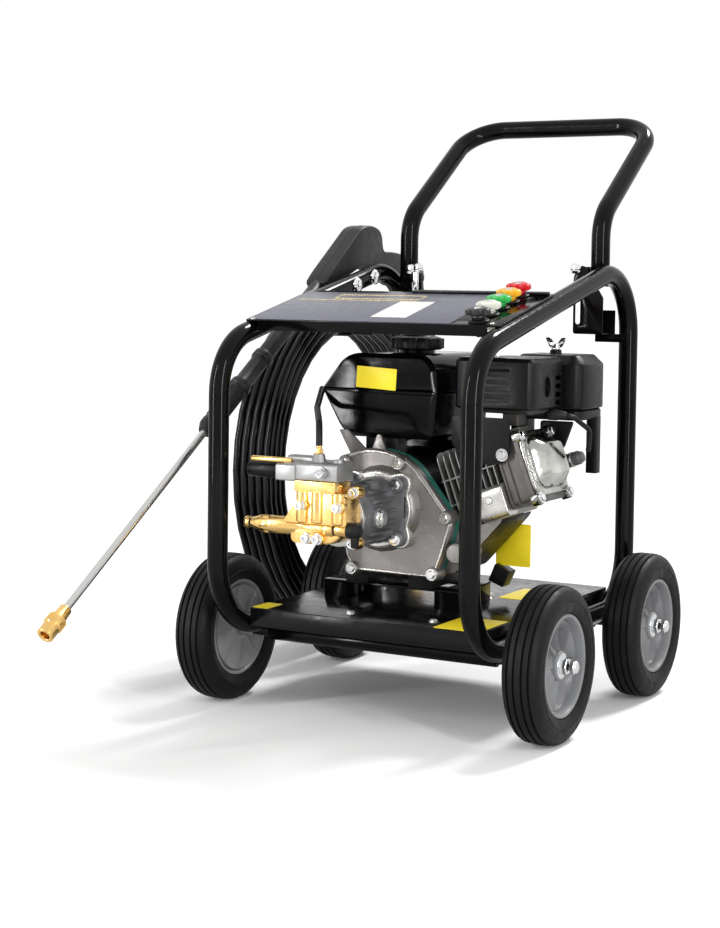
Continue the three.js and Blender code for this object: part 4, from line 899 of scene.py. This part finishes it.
# %% Rivets, bolts and tray plates
TRAY_TOP = 140
TRAY_PLATES = {"front_left": (-168, -144, -240, -200, 3), "front_right": (101, 166, -238, -150, 4),
               "rear_right": (76, 140, 10, 100, 4)}
rivets = [((x, y, PANEL_TOP), UP, RIGHT) for x, y in ((172, 9), (-176, 4))]
set_out("panel_rivets", "dome_head", rivets, zinc, "cart", 3.4, PANEL)
for name, sides in TRAY_PLATES.items():
    build(
        "tray_plate_" + name, [extrude("z", TRAY_TOP, TRAY_TOP + 0.5, rect(*sides))], tag_yellow,
        "cart", edge=0.1,
    )
tray_bolts = [
    ((x, y, TRAY_TOP), UP, RIGHT)
    for x, y in ((-36, -206), (85, -203), (-111, 20), (59, 20))
]
set_out("tray_bolts", "hex_head", tray_bolts, zinc, "cart", 5.4)
print("tray plates", len(TRAY_PLATES), "bolts", len(tray_bolts))

# %% [markdown]
# The engine's castings keep the solids' shapes. Their edges are broken, because a sand-cast edge is
# never sharp. The crankcase is bare metal in front. At the feet, under the tank, at the back and on
# the slope under the cylinder, its faces are near black: painted shade where shade falls on them.
# It could be cut into pieces, but it is one casting, so its faces take one of two finishes by where
# they lie.

# %% Engine castings
ENGINE = Matrix.Translation((-29, -134, 272))
COVER = [
    (-55, -69, 8), (-41, -88, 8), (80, -88, 10), (92, -60, 14), (106, -11, 10), (42, 68, 22),
    (0, 80, 20), (-34, 79, 16), (-65, 65, 10),
]


def paint_where(obj, paint, group, test):
    """Gives a second finish to the faces whose middle, in a group's millimetres, passes a test."""
    slot = len(obj.data.materials)
    obj.data.materials.append(paint)
    back = group.inverted()
    for face in obj.data.polygons:
        if test(back @ ((Vector(face.center) - ORIGIN) * 1000)):
            face.material_index = slot


# Faces that are near black as painted shade: the feet, under the tank, the back and the slope under
# the cylinder.
def in_painted_shade(p):
    feet, under_tank, behind = p.z < -87, p.z > 64, p.y > 60
    return feet or under_tank or behind or (p.x > 88 and p.z < 40 and p.y > 26)


paint_where(dress("crankcase", cast_aluminium, 2.2, 3), dark_and_shade_casting, ENGINE, in_painted_shade)
dress("engine_side_cover", cast_aluminium, 1.8, 4)
print("castings done")

# %% [markdown]
# The side cover gets a teal gasket behind it, a machined rim, bosses with bolts, and the lobed seat
# that carries the pump. Gasket and rim are walls that follow the cover's own outline, drawn in or
# out a little, so they fit wherever a corner moves. The seat's four lobes come from one cosine.


# %% Side cover
def drawn_in(outline, inset):
    """An outline moved towards its middle."""
    moved = []
    for x, z, reach in outline:
        share = 1 - inset / math.hypot(x, z)
        moved.append((x * share, z * share, reach))
    return moved


def wall(outline, inset, y0, y1):
    """A raised wall that follows an outline, from its edge to an inset line."""
    outer, inner = rounded(outline), rounded(drawn_in(outline, inset))
    loops = ((outer, y0), (outer, y1), (inner, y1), (inner, y0))
    return (
        [on_axis("y", y, *p) for line, y in loops for p in line], skin(4, len(outer), closed=True),
    )


build("cover_gasket", [wall(drawn_in(COVER, -0.25), 5, 13.1, 22)], gasket_teal, "cart", ENGINE)
build(
    "cover_rim", [wall(drawn_in(COVER, 2.2), 3.2, -4.4, -1)], turned_aluminium, "cart", ENGINE,
    edge=1.0, segments=3,
)
SEAT_R, LOBE_REACH, LOBES, SEAT_STEPS = 51, 15, 4, 120
lobed = []
for k in range(SEAT_STEPS):
    a = 2 * math.pi * k / SEAT_STEPS
    r = SEAT_R + LOBE_REACH * max(0.0, math.cos(LOBES * (a - math.pi / 4))) ** 1.4
    lobed.append((r * math.cos(a), r * math.sin(a), 0))
build(
    "pump_seat", [extrude("y", -18.8, -2, lobed)], turned_aluminium, "cart", ENGINE, edge=2.2,
    segments=4, smooth=60,
)
cover_bolts = [(-56, 60), (26, 62), (97, -6), (-43, -84), (79, -82)]
build(
    "cover_bosses", [turn("y", p, [(-9, 7.8), (-8.2, 9), (13, 10.4)], 32) for p in cover_bolts],
    cast_aluminium, "cart", ENGINE, edge=0.5,
)
set_out(
    "cover_bolts", "hex_head", [((x, -9, z), FORWARD, RIGHT) for x, z in cover_bolts], zinc, "cart",
    6.0, ENGINE,
)
build(
    "filler_boss", [turn("y", (112, -52), [(-7, 12), (-6, 13.6), (10, 15)], 40)], cast_aluminium,
    "cart", ENGINE, edge=0.8,
)
print("cover bolts", len(cover_bolts))

# %% [markdown]
# Small brackets of sheet and strip fill the space round the engine. Each is an outline seen from
# the front, given a thickness. They could be boxes, but a bracket shows by its slanted outline, and
# three or four more corners make the difference.

# %% Engine brackets
TANK_STRAP = [(-74, 102, 3), (-60, 102, 3), (-22, 68, 3), (-34, 56, 3), (-52, 64, 5)]
LIFTING_LUG = [(-22, 76, 2), (0, 76, 2), (-8, 98, 4), (-14, 98, 4)]
SHROUD_PLATE = [(94, 128, 4), (178, 128, 4), (178, 78, 8), (164, 66, 8), (118, 66, 4), (94, 92, 6)]
INTAKE_BRACKET = [(166, 88, 6), (200, 80, 6), (214, 118, 4), (166, 118, 4)]
CRADLE_STOP = [(98, -106, 2), (120, -114, 2), (130, -92, 2), (108, -82, 2)]
BRACKETS = (
    # name, y range, outline, finish, edge
    ("tank_strap", 8, 12, TANK_STRAP, head_casting, 1),
    ("lifting_lug", 6, 12, LIFTING_LUG, cast_aluminium, 1),
    ("shroud_plate", 14, 17, SHROUD_PLATE, dark_and_shade_casting, 0.8),
    ("intake_bracket", 140, 146, INTAKE_BRACKET, dark_and_shade_casting, 0.8),
)
for name, y0, y1, outline, paint, edge in BRACKETS:
    build(name, [extrude("y", y0, y1, outline)], paint, "cart", ENGINE, edge=edge)
build(
    "cradle_stop", [extrude("y", 126, 150, CRADLE_STOP)], soft_rubber, "cart", ENGINE, edge=1.5,
    segments=3,
)
set_out("shroud_bolt", "hex_head", [((168, 14, 80), FORWARD, RIGHT)], chrome, "cart", 6.5, ENGINE)
print("brackets", len(BRACKETS))

# %% [markdown]
# The cylinder lies at twenty degrees and carries thin cooling fins. The solid holds them as one
# block, but air passes between real fins, and so does light. One fin is cut as a rounded plate and
# set out along the cylinder, so the count and the pitch are two numbers. Two ribs run across the
# fins, and the pushrod box shows bright below them.

# %% Cylinder
TILT = math.radians(20)
CYLINDER = ENGINE @ Matrix.Rotation(-TILT, 4, "Y") @ Matrix.Translation((0, 0, -8))
FIN_START, FIN_PITCH, FIN_COUNT, FIN_HALF = 68, 9.5, 11, 0.9
FIN_END = FIN_START + FIN_PITCH * FIN_COUNT
template("fin", [extrude("x", -FIN_HALF, FIN_HALF, rect(-50, 50, -52, 56, 14))], 0.5)
fin_spots = [((FIN_START + 1.2 + FIN_PITCH * i, 72, 0), UP, RIGHT) for i in range(2, FIN_COUNT)]
set_out("cylinder_fins", "fin", fin_spots, fin_aluminium, "cart", 1.0, CYLINDER)
# The core is near black: painted shade in the gaps between the fins.
build(
    "cylinder_core", [extrude("x", FIN_START + 12, FIN_END - 0.3, rect(32, 112, -40, 40, 26))],
    dark_and_shade_casting, "cart", CYLINDER, edge=1, stands_for=["cylinder_barrel"],
)
across_fins = rect(FIN_START + 16, FIN_END - 0.3, 23.4, 120.6)
build(
    "fin_ribs", [extrude("z", z, z + 2, across_fins) for z in (-18, 16)], fin_aluminium, "cart",
    CYLINDER, edge=0.5,
)
build(
    "pushrod_box", [extrude("x", FIN_END - 42, FIN_END - 0.3, rect(9, 42, -53, -8, 12))],
    turned_aluminium, "cart", CYLINDER, edge=2.5, segments=4,
)
set_out(
    "pushrod_bolt", "hex_head", [((FIN_END - 22, 9, -26), FORWARD, RIGHT)], zinc, "cart", 5.6,
    CYLINDER,
)
print("fins", len(fin_spots))

# %% [markdown]
# The head closes the cylinder and the rocker cover closes the head: one is a rough casting, the
# other a bright pressing. Both keep their solids, which have the right outlines. The cover's four
# ears could be part of its outline, but they are round, so they are turned bosses at its corners,
# each with a bolt.

# %% Cylinder head
HEAD_END = FIN_END + 38.5
dress("cylinder_head", head_casting, 2, 3)
head_ribs = [
    extrude("x", x, x + 2.4, rect(19, 123, -47, 49, 12))
    for x in (FIN_END + 2, FIN_END + 12)
]
build("head_ribs", head_ribs, head_casting, "cart", CYLINDER, edge=0.6)
dress("rocker_cover", bright_pressing, 1.6, 3, 28)
corner_bolts = [(y, z) for y in (24, 118) for z in (-42, 42)]
rocker_ears = [
    turn("x", p, [(HEAD_END - 6, 9.5), (HEAD_END + 5.4, 9), (HEAD_END + 6, 8.4)], 32)
    for p in corner_bolts
]
build("rocker_ears", rocker_ears, bright_pressing, "cart", CYLINDER, edge=0.5)
set_out(
    "rocker_bolts", "hex_head", [((HEAD_END + 6, y, z), RIGHT, BACKWARD) for y, z in corner_bolts],
    chrome, "cart", 6.0, CYLINDER,
)
print("head ends at", HEAD_END)

# %% [markdown]
# Fuel tank, filter, muffler and starter are pressings and mouldings. They could be modelled anew
# with a subdivided cage, but the solids hold their shapes, and a bevel is all that is lacking. A
# pressed steel tank has wide soft corners, so its bevel is large. The moulded covers have tighter
# ones.

# %% Tank, filter, muffler and starter
dress("fuel_tank", tank_enamel, 3.2, 4, 60, 20)
for node, paint, edge, segments in (
    ("muffler_guard", moulded_black, 2.2, 3),
    ("muffler", heat_grey, 2.5, 3),
    ("air_filter_base", moulded_black, 1.6, 3),
    ("air_filter_cover", moulded_black, 2.4, 4),
    ("filter_wing_nut", chrome, 0.6, 2),
    ("carburettor", cast_aluminium, 1.4, 2),
    ("choke_lever", moulded_black, 0.8, 2),
    ("fan_housing", tank_enamel, 2, 3),
    ("recoil_starter", tank_enamel, 1.4, 2),
    ("starter_grip", moulded_black, 2, 3),
    ("engine_switch", moulded_black, 0.8, 2),
    ("oil_plug", moulded_black, 0.8, 2),
    ("engine_cradle", black_enamel, 1, 2),
):
    dress(node, paint, edge, segments)
TANK_FACE = Matrix.Translation((-49, -120.3, 445.6)) @ Matrix.Rotation(math.radians(3), 4, "Y")
build(
    "tank_plate", [extrude("y", -0.7, 0.2, rect(-30.5, 30.5, -14.6, 14.6, 1.5))], tag_yellow,
    "cart", TANK_FACE, edge=0.1,
)

# %% [markdown]
# The fuel cap is a moulded lid with ten lobes that a hand can grip. A turned profile makes the lid.
# The lobes could be cut into it, but set out on a circle they stay ten copies of one small block,
# and ride the same body.

# %% Fuel cap
CAP, CAP_R = (-24, -50), 33.6
cap_profile = [
    (483.4, 31), (484, 33.4), (486, 34), (498, 34), (500, 33), (501.2, 29), (502, 25),
    (504.2, 23.5), (504.2, 8), (503.6, 7),
]
build("fuel_cap_moulding", [turn("z", CAP, cap_profile, 72)], moulded_black, "fuel_cap", edge=0.4,
      stands_for=["fuel_cap"])
template("cap_lobe", [rib(14, (6.4, -3, 1), (5, 3.4, 3))], 1, 3)
set_out(
    "fuel_cap_lobes", "cap_lobe", circle_spots("z", CAP, 492, CAP_R, 10), moulded_black, "fuel_cap",
)
build(
    "filter_washer", [turn("z", (116, -97), [(480.1, 15), (481.4, 15)], 40)], chrome, "cart",
    edge=0.3,
)
print("cap radius", CAP_R)

# %% [markdown]
# The spark plug sits in a rubber boot with two metal rings, and a lead hangs by the filter. A boot
# is a stack of turned steps. A lead is round and bends where it likes, so it is swept along a line
# with wide bends.

# %% Spark boot and lead
BOOT_LINE = (146, -2)
boot_steps = [(FIN_END + 24, 9), (FIN_END + 60, 9.6), (FIN_END + 62, 8), (FIN_END + 66, 7)]
build(
    "spark_boot",
    [
        turn(
            "y", (FIN_END + 22, BOOT_LINE[1]),
            [(132.5, 9), (140, 9), (141, 11), (158, 11), (160, 9)], 32,
        ),
        turn("x", BOOT_LINE, boot_steps, 32),
    ],
    seam_grey, "cart", CYLINDER, edge=0.8, stands_for=["spark_plug_cap"],
)
build(
    "spark_terminal",
    [turn("x", BOOT_LINE, [(FIN_END + x, 10.6), (FIN_END + x + 3, 10.6)], 32) for x in (40, 48)],
    chrome, "cart", CYLINDER, edge=0.4,
)
lead = bent([((176, -36, 402), 0), ((200, -30, 400), 12), ((212, 2, 380), 14), ((207, 8, 352), 0)])
build("spark_lead", [sweep(lead, 3.4, 16)], soft_rubber, "cart")
build(
    "lead_boot", [sweep([(168, -38, 403), (178, -35.5, 402), (192, -32, 401)], [8.5, 8, 4.6], 24)],
    soft_rubber, "cart", edge=0.6,
)
print("lead points", len(lead))

# %% [markdown]
# The axial pump is the piece that takes the most care. Its grey body is a turned barrel on a square
# flange. The solid shows it plain, but the real casting has eighteen ribs to shed heat, so one rib
# is set out round it, and the flange gets its four ears and bolts.

# %% Pump body
PUMP = Matrix.Translation((-29, -150, 272))
build(
    "pump_casting_body",
    [
        turn(
            "y", (0, 0),
            [(-99, 36), (-98, 37), (-90, 37.4), (-88, 38), (-30, 40), (-16, 43), (-9, 45)], 72,
        ),
        extrude("y", -10, -0.2, rect(-45, 45, -42, 42, 16)),
        turn("x", (-70, -2), [(26, 15), (42, 13.5), (43.6, 12)], 36),
        turn("z", (18, -46), [(28, 11), (42, 10)], 32),
    ],
    pump_casting, "cart", PUMP, edge=1, segments=3, stands_for=["pump_body"],
)
template("pump_rib", [rib(54, (3, -5, 0), (2.2, 4, 1.4))], 0.6)
set_out(
    "pump_ribs", "pump_rib", circle_spots("y", (0, 0), -52, 39.5, 18, 0.12), pump_casting, "cart",
    1.0, PUMP,
)
flange_ears = [(x, z) for x in (-36, 36) for z in (-36, 36)]
build(
    "pump_flange_ears",
    [turn("y", p, [(-17, 9), (-16, 10.4), (-0.4, 11.5)], 36) for p in flange_ears], pump_casting,
    "cart", PUMP, edge=0.8,
)
set_out(
    "pump_flange_bolts", "hex_head", [((x, -17, z), FORWARD, RIGHT) for x, z in flange_ears],
    chrome, "cart", 6.2, PUMP,
)
build(
    "pump_flange_slot", [extrude("z", -8, 20, rect(44.4, 45.4, -9, -4.5))], soft_rubber, "cart",
    PUMP,
)
build(
    "pump_seal_plate",
    [turn("y", (0, 0), [(-105.3, 37.4), (-105, 38), (-99.6, 38), (-99.3, 37.4)], 72)],
    turned_aluminium, "cart", PUMP, edge=0.3,
)
build(
    "pump_side_plug",
    [
        turn("x", (-70, -2), [(43.2, 9.6), (48.5, 9.6), (49.6, 8.6)], 6),
        turn("x", (-70, -2), [(42.8, 12), (44.2, 12)], 32),
    ],
    chrome, "cart", PUMP, edge=0.4,
)
print("flange ears", len(flange_ears))

# %% [markdown]
# The brass head is forged in one piece: a tower and a bar, three valve columns in front, two round
# chambers, and lugs for the screws. It could be joined into one skin, but a casting's lumps meet in
# sharp valleys, and closed shapes that overlap show just that. So it stays one mesh of simple
# shapes, from the head's back to its front.

# %% Pump head
BRASS_BACK, BRASS_TOP = -105.6, 48.7
BRASS_FRONT = BRASS_BACK - 39
SHOULDER = BRASS_TOP - 14
tower = extrude(
    "y", BRASS_FRONT + 1.6, BRASS_BACK,
    [
        (-60, -6, 4), (34, -6, 4), (31, BRASS_TOP - 17, 4), (24, SHOULDER, 2), (-40, SHOULDER, 2),
        (-40, 20, 8), (-47, 14, 6),
    ],
)
cap_bar = extrude(
    "y", BRASS_FRONT, BRASS_BACK,
    [(-42, SHOULDER, 2.5), (18, SHOULDER, 2.5), (18, BRASS_TOP, 1.5), (-42, BRASS_TOP, 1.5)],
)
columns = [
    turn(
        "z", (x, BRASS_FRONT + 4),
        [(-5, 6.5), (-3, 8.6), (BRASS_TOP - 15, 8.8), (BRASS_TOP - 13, 7.8)], 40,
    )
    for x in (-31, -9, 21)
]
chambers = [
    turn(
        "y", (x, 18), [(BRASS_FRONT - 3, 8.4), (BRASS_FRONT - 2.2, 9.2), (BRASS_FRONT + 6, 10.4)],
        48,
    )
    for x in (-31, 23)
]
side_lugs = [
    turn("y", p, [(-120, 7), (-119, 8), (BRASS_BACK, 9)], 32)
    for p in ((31, 35), (31, -30))
]
lower_lugs = [turn("y", p, [(BRASS_FRONT + 5, 7), (BRASS_FRONT + 6, 8), (BRASS_BACK, 9)], 32)
              for p in ((-26, -25), (-10, -25))]
web = extrude(
    "y", BRASS_FRONT + 6, BRASS_BACK, [(-50, -32, 8), (-16, -32, 8), (-16, -8, 2), (-50, -8, 2)],
)
drum = turn("y", (-2, -4), [(BRASS_FRONT + 10, 26), (BRASS_FRONT + 12, 28), (BRASS_BACK, 29)], 64)
build(
    "pump_brass_head", [tower, cap_bar, *columns, *chambers, *side_lugs, *lower_lugs, web, drum],
    forged_brass, "cart", PUMP, edge=1.5, segments=3, stands_for=["pump_manifold"],
)
head_screws = [
    (-31, BRASS_FRONT - 3, 18), (23, BRASS_FRONT - 3, 18), (31, -120, 35), (31, -120, -30),
    (-26, BRASS_FRONT + 5, -25), (-10, BRASS_FRONT + 5, -25),
]
WASHER = 1.2
build(
    "pump_screw_washers",
    [turn("y", (x, z), [(y - WASHER, 7.2), (y, 7.2)], 32) for x, y, z in head_screws], chrome,
    "cart", PUMP, edge=0.3,
)
set_out(
    "pump_head_screws", "socket_head",
    [((x, y - WASHER, z), FORWARD, RIGHT) for x, y, z in head_screws], chrome, "cart", 5.6, PUMP,
)
print("head screws", len(head_screws))

# %% [markdown]
# Water runs through a turned brass tube below the head, with a hose tail on one end and a rubber
# cap on the other. Everything on it shares one line, so a profile along that line makes each piece,
# and a second one with six sides makes the hexagon that a wrench holds.

# %% Water tube
TUBE_LINE = (BRASS_BACK - 24, -12)
HEX_START, HEX_WIDTH = -97, 12
tube_profile = [
    (-124, 5.4), (-123.4, 7.6), (-118.4, 8), (-117.6, 6), (-114, 6), (-113, 7.4), (-111.6, 7.4),
    (-98, 11.5), (-84, 11.5), (-46, 11.5), (-42, 9.4), (-30, 9.2), (-4, 9.2), (-3, 10.6),
    (10, 10.6), (11, 8.4), (13, 8.4), (14, 9.6), (29.4, 9.6), (29.9, 9),
]
build("water_tube_brass", [turn("x", TUBE_LINE, tube_profile, 48),
                           turn("x", TUBE_LINE, [(HEX_START, 13), (HEX_START + HEX_WIDTH, 13)], 6)],
      forged_brass, "cart", PUMP, edge=0.5, stands_for=["water_tube"])
build(
    "coupling_rings",
    [
        turn("x", TUBE_LINE, [(-116.6, 6.8), (-114.6, 6.8)], 32),
        turn("x", TUBE_LINE, [(11.2, 9.4), (13, 9.4)], 32),
    ],
    soft_rubber, "cart", PUMP, edge=0.3,
)
build("inlet_cap_moulding", [
    turn("x", TUBE_LINE, [(30.3, 9.6), (31, 10.4), (42, 10.4), (46, 8.6), (47.6, 6)], 40),
    turn("z", (39.3, TUBE_LINE[0]), [(-34, 3.6), (-33, 5), (-24, 5.6), (-12, 6)], 36),
], soft_rubber, "cart", PUMP, edge=0.8, stands_for=["inlet_cap"])
print("water tube points", len(tube_profile))

# %% [markdown]
# The unloader on top sends water round when the gun is shut: a cast block with a plug, a black knob
# that sets the pressure and rides its own body, a relief rod, and a barbed nipple for detergent.
# The barbs are steps in a turned profile, and the line from the nipple is a swept tube with
# generous bends, so it can't kink.

# %% Unloader
KNOB_LINE, ROD_LINE, NIPPLE = (BRASS_BACK - 19, 58), (BRASS_BACK - 30, 72.6), (-20, BRASS_BACK - 15)
knob_profile = [(-121.3, 9.4), (-120.4, 10.4), (-76, 10.5), (-74.8, 9), (-71.6, 9)]
barbs = [
    (88, 3.4), (91, 3.4), (91.4, 4.2), (93.4, 3.4), (93.8, 4.2), (95.8, 3.4), (96.2, 4.2),
    (99.4, 2.8),
]
dress("unloader_block", unloader_casting, 1.6, 3)
set_out(
    "unloader_plug", "socket_head", [((-2, BRASS_FRONT - 1.2, 60), FORWARD, RIGHT)], chrome, "cart",
    5.8, PUMP,
)
build(
    "unloader_knob_moulding", [turn("x", KNOB_LINE, knob_profile, 48)], moulded_black,
    "pressure_knob", PUMP, edge=0.5, stands_for=["unloader_knob"],
)
build(
    "relief_rod", [turn("x", ROD_LINE, [(-112, 3), (-111, 3.8), (-52, 3.8), (-51, 3)], 32)],
    forged_brass, "cart", PUMP, edge=0.3,
)
build("nipple_brass", [
    turn("z", NIPPLE, [(82.4, 5.4), (84, 5.4)], 32),
    turn("z", NIPPLE, [(82.4, 6.5), (88.4, 6.5)], 6),
    turn("z", NIPPLE, barbs, 28),
], forged_brass, "cart", PUMP, edge=0.3, stands_for=["detergent_nipple"])
feed = bent([
    ((-49, -270.6, 365), 0), ((-49, -270.6, 392), 30), ((-124, -150, 404), 22),
    ((-136, -116, 428), 0),
])
build("detergent_tube", [sweep(feed, 4.4, 20)], soft_rubber, "cart")
print("feed points", len(feed))

# %% [markdown]
# The spray gun lies along one sloping line: a brass coupler with a knurled ring, a steel lance, and
# a ribbed sleeve for the other hand. Placing every part in the cart's own directions would mean two
# sines each time. So a turned group holds the slope, and along it each part is a plain profile with
# its ribs set out on a circle.

# %% Lance
GUN = Matrix.Translation((-228, -599.5, 152.5)) @ Matrix.Rotation(math.radians(33.6), 4, "X")
coupler_profile = [
    (0.2, 9.8), (1.2, 10.8), (15, 10.8), (16, 10), (17, 11.8), (30, 11.8), (31, 9), (47.8, 8),
    (47.8, 3), (18, 3), (18, 6), (1.4, 6), (0.2, 7.2),
]
SLEEVE_R = 12.4
sleeve_profile = [
    (397.8, 7), (398.4, 9), (409, 13.4), (418, 13.6), (422, SLEEVE_R), (494, SLEEVE_R), (496, 15.2),
    (505, 15.4), (507, SLEEVE_R), (562, SLEEVE_R), (563, 14.6), (572.8, 14.8), (573.6, 13),
]
build(
    "coupler_brass", [turn("y", (0, 0), coupler_profile, 48, True)], forged_brass, "gun", GUN,
    edge=0.3, stands_for=["lance_coupler"],
)
template("grip_rib", [rib(12, (0.7, -0.8, 0), (0.4, 0.8, 0.3))], 0.1, 1)
set_out(
    "coupler_knurls", "grip_rib", circle_spots("y", (0, 0), 23.5, 11.6, 24), forged_brass, "gun",
    1.0, GUN,
)
build("lance_steel_tube", [turn("y", (0, 0), [(46, 5), (399, 5)], 32)], lance_steel, "gun", GUN,
      stands_for=["lance_tube"])
build("sleeve_moulding", [turn("y", (0, 0), sleeve_profile, 48)], grip_black, "gun", GUN, edge=0.5,
      stands_for=["lance_sleeve"])
template("sleeve_rib", [rib(62, (0.9, -1, 0), (0.5, 1.2, 0.4))], 0.2, 1)
set_out(
    "sleeve_ribs", "sleeve_rib", circle_spots("y", (0, 0), 458, SLEEVE_R, 22), grip_black, "gun",
    1.0, GUN,
)
print("lance and sleeve done")

# %% [markdown]
# The grip is moulded in two halves that meet in a seam down the middle. Its outline says nearly all
# of its shape, so it is one extrusion with a wide bevel, which rounds it for the hand. The seam is
# a thin line swept round the same outline. The trigger rides its own body, so it keeps its own
# piece.

# %% Gun grip
GRIP_START = 745.9
GRIP = [
    (GRIP_START + y, z, reach)
    for y, z, reach in (
        (0, -17, 4), (62, -20, 8), (112, -32, 14), (146, -64, 20), (196, -126, 10), (216, -136, 12),
        (246, -112, 12), (232, -90, 16), (200, -64, 16), (174, -48, 12), (188, -18, 18),
        (163, 8, 14), (137, 19, 10), (20, 14, 10), (0, 11, 4),
    )
]
build(
    "gun_shell_moulding", [extrude("x", -17, 17, GRIP)], grip_black, "gun", GUN, edge=4.5,
    segments=4, smooth=50, stands_for=["gun_shell"],
)
build(
    "gun_barrel", [turn("y", (0, 0), [(574.2, 11), (575, 12), (GRIP_START + 4, 12)], 40)],
    grip_black, "gun", GUN, edge=0.3,
)
build(
    "gun_seam", [sweep([on_axis("x", 0, *p) for p in rounded(GRIP)], 0.5, 8, True)], grip_black,
    "gun", GUN,
)
dress("gun_trigger", moulded_black, 1.4, 3)
dress("gun_holder", blackened_steel, 0.6, 2)
print("gun length", max(y for y, _, _ in GRIP))

# %% [markdown]
# Folded brackets join the push handle to the hoops, and the gun's holder is screwed to the left
# one. The brackets keep their solids, as folded sheet needs only its edges broken. The screws are
# domed heads from the set-out tree, so a screw that moves is one place in a list. A bare yellow tag
# hangs under the cylinder.

# %% Brackets and hardware
dress("handle_bracket_left", black_enamel, 0.8, 2)
dress("handle_bracket_right", black_enamel, 0.8, 2)
holder_bolts = [((-168.6, y, deck_z(y)), RIGHT, BACKWARD) for y in (36, 88)]
set_out("holder_bolts", "dome_head", holder_bolts, chrome, "cart", 11)
bracket_bolts = [((x, 147.5, z), FORWARD, RIGHT) for x, z in ((-140, 595), (-127, 597), (126, 598))]
set_out("bracket_bolts", "dome_head", bracket_bolts, chrome, "cart", 8)
build(
    "bracket_sleeve",
    [turn("z", (-129, 142), [(562, 4.6), (563, 5.2), (590, 5.2), (591, 4.6)], 24)], chrome, "cart",
)
build("hang_tag", [extrude("y", 4, 5, rect(75, 127, 187, 246, 3))], tag_yellow, "cart", edge=0.2)

# %% [markdown]
# A plain pale floor and soft light from all round show the object as it is. The background is white
# to the eye, to gloss and to glass. It could be made white with more light, but then the pale
# pieces would burn out. So the floor and the world are only shown brighter than they shine, and the
# floor keeps the shadow.

# %% Stage
FLOOR_HALF = 60
FLOOR_SHADE, FLOOR_SEEN = 0.7, 1.12
SKY_STRENGTH = 0.4


def grey(value):
    return (value, value, value, 1)


corners = [
    (-FLOOR_HALF, -FLOOR_HALF), (FLOOR_HALF, -FLOOR_HALF), (FLOOR_HALF, FLOOR_HALF),
    (-FLOOR_HALF, FLOOR_HALF),
]
floor_mesh = bpy.data.meshes.new("floor")
floor_mesh.from_pydata([(x, y, 0) for x, y in corners], [], [(0, 1, 2, 3)])
floor_paint = bpy.data.materials.new("floor_paint")
floor_paint.use_nodes = True
tree = floor_paint.node_tree
tree.nodes.remove(tree.nodes["Principled BSDF"])
path = tree.nodes.new("ShaderNodeLightPath")
shades = tree.nodes.new("ShaderNodeMix")
shades.data_type = "RGBA"
shades.inputs["A"].default_value = grey(FLOOR_SHADE)
shades.inputs["B"].default_value = grey(FLOOR_SEEN)
matt = tree.nodes.new("ShaderNodeBsdfDiffuse")
tree.links.new(path.outputs["Is Camera Ray"], shades.inputs["Factor"])
tree.links.new(shades.outputs["Result"], matt.inputs["Color"])
tree.links.new(matt.outputs["BSDF"], tree.nodes["Material Output"].inputs["Surface"])
floor_mesh.materials.append(floor_paint)
added("floor", floor_mesh)
world = bpy.data.worlds.new("studio")
bpy.context.scene.world = world
world.use_nodes = True
tree = world.node_tree
sky = tree.nodes["Background"]
plain = tree.nodes.new("ShaderNodeBackground")
for background, strength in ((sky, SKY_STRENGTH), (plain, 1)):
    background.inputs["Color"].default_value = grey(1)
    background.inputs["Strength"].default_value = strength
path = tree.nodes.new("ShaderNodeLightPath")
seen = path.outputs["Is Camera Ray"]
for ray in ("Is Glossy Ray", "Is Transmission Ray"):
    either = tree.nodes.new("ShaderNodeMath")
    either.operation = "MAXIMUM"
    tree.links.new(seen, either.inputs[0])
    tree.links.new(path.outputs[ray], either.inputs[1])
    seen = either.outputs["Value"]
mix = tree.nodes.new("ShaderNodeMixShader")
tree.links.new(seen, mix.inputs["Fac"])
tree.links.new(sky.outputs["Background"], mix.inputs[1])
tree.links.new(plain.outputs["Background"], mix.inputs[2])
tree.links.new(mix.outputs["Shader"], tree.nodes["World Output"].inputs["Surface"])
print("floor and sky", FLOOR_SHADE, SKY_STRENGTH)

# %% [markdown]
# A broad sun from behind on the right lays the shadow softly to the front and left. The near sides
# could be lit by one big lamp, but gloss black shows a lamp's shape. So two narrow strips draw the
# bright lines along the tubes, and a wide lamp, which gloss doesn't see, fills the near sides.

# %% Lamps
LAMP_TARGET = Vector((0, 0, 0.35))
LAMPS = {
    # name: (place, width, height, watts, whether gloss sees it)
    "left_strip": ((-1.6, -2.4, 1.1), 0.14, 2.4, 42, True),
    "right_strip": ((2.5, -1.5, 1.2), 0.14, 2.4, 42, True),
    "front_fill": ((0.9, -3.2, 0.6), 2.2, 1.2, 40, False),
}


def hang(name, lamp, spot):
    obj = added(name, lamp)
    obj.location = spot
    obj.rotation_euler = (LAMP_TARGET - Vector(spot)).to_track_quat("-Z", "Y").to_euler()
    return obj


for name, (spot, width, height, watts, in_gloss) in LAMPS.items():
    lamp = bpy.data.lights.new(name, "AREA")
    lamp.shape, lamp.size, lamp.size_y, lamp.energy = "RECTANGLE", width, height, watts
    hang(name, lamp, spot).visible_glossy = in_gloss
SUN_SPOT, SUN_STRENGTH, SUN_WIDTH = (0.35, 1.6, 2.3), 2.4, math.radians(15)
sun = bpy.data.lights.new("sun", "SUN")
sun.energy, sun.angle = SUN_STRENGTH, SUN_WIDTH
hang("sun", sun, SUN_SPOT)
bpy.context.scene.view_settings.view_transform = "Standard"
print("lamps", len(LAMPS) + 1)

# %% [markdown]
# The templates have done their work and go.

# %% Close
for made in TEMPLATES.values():
    bpy.data.objects.remove(made)
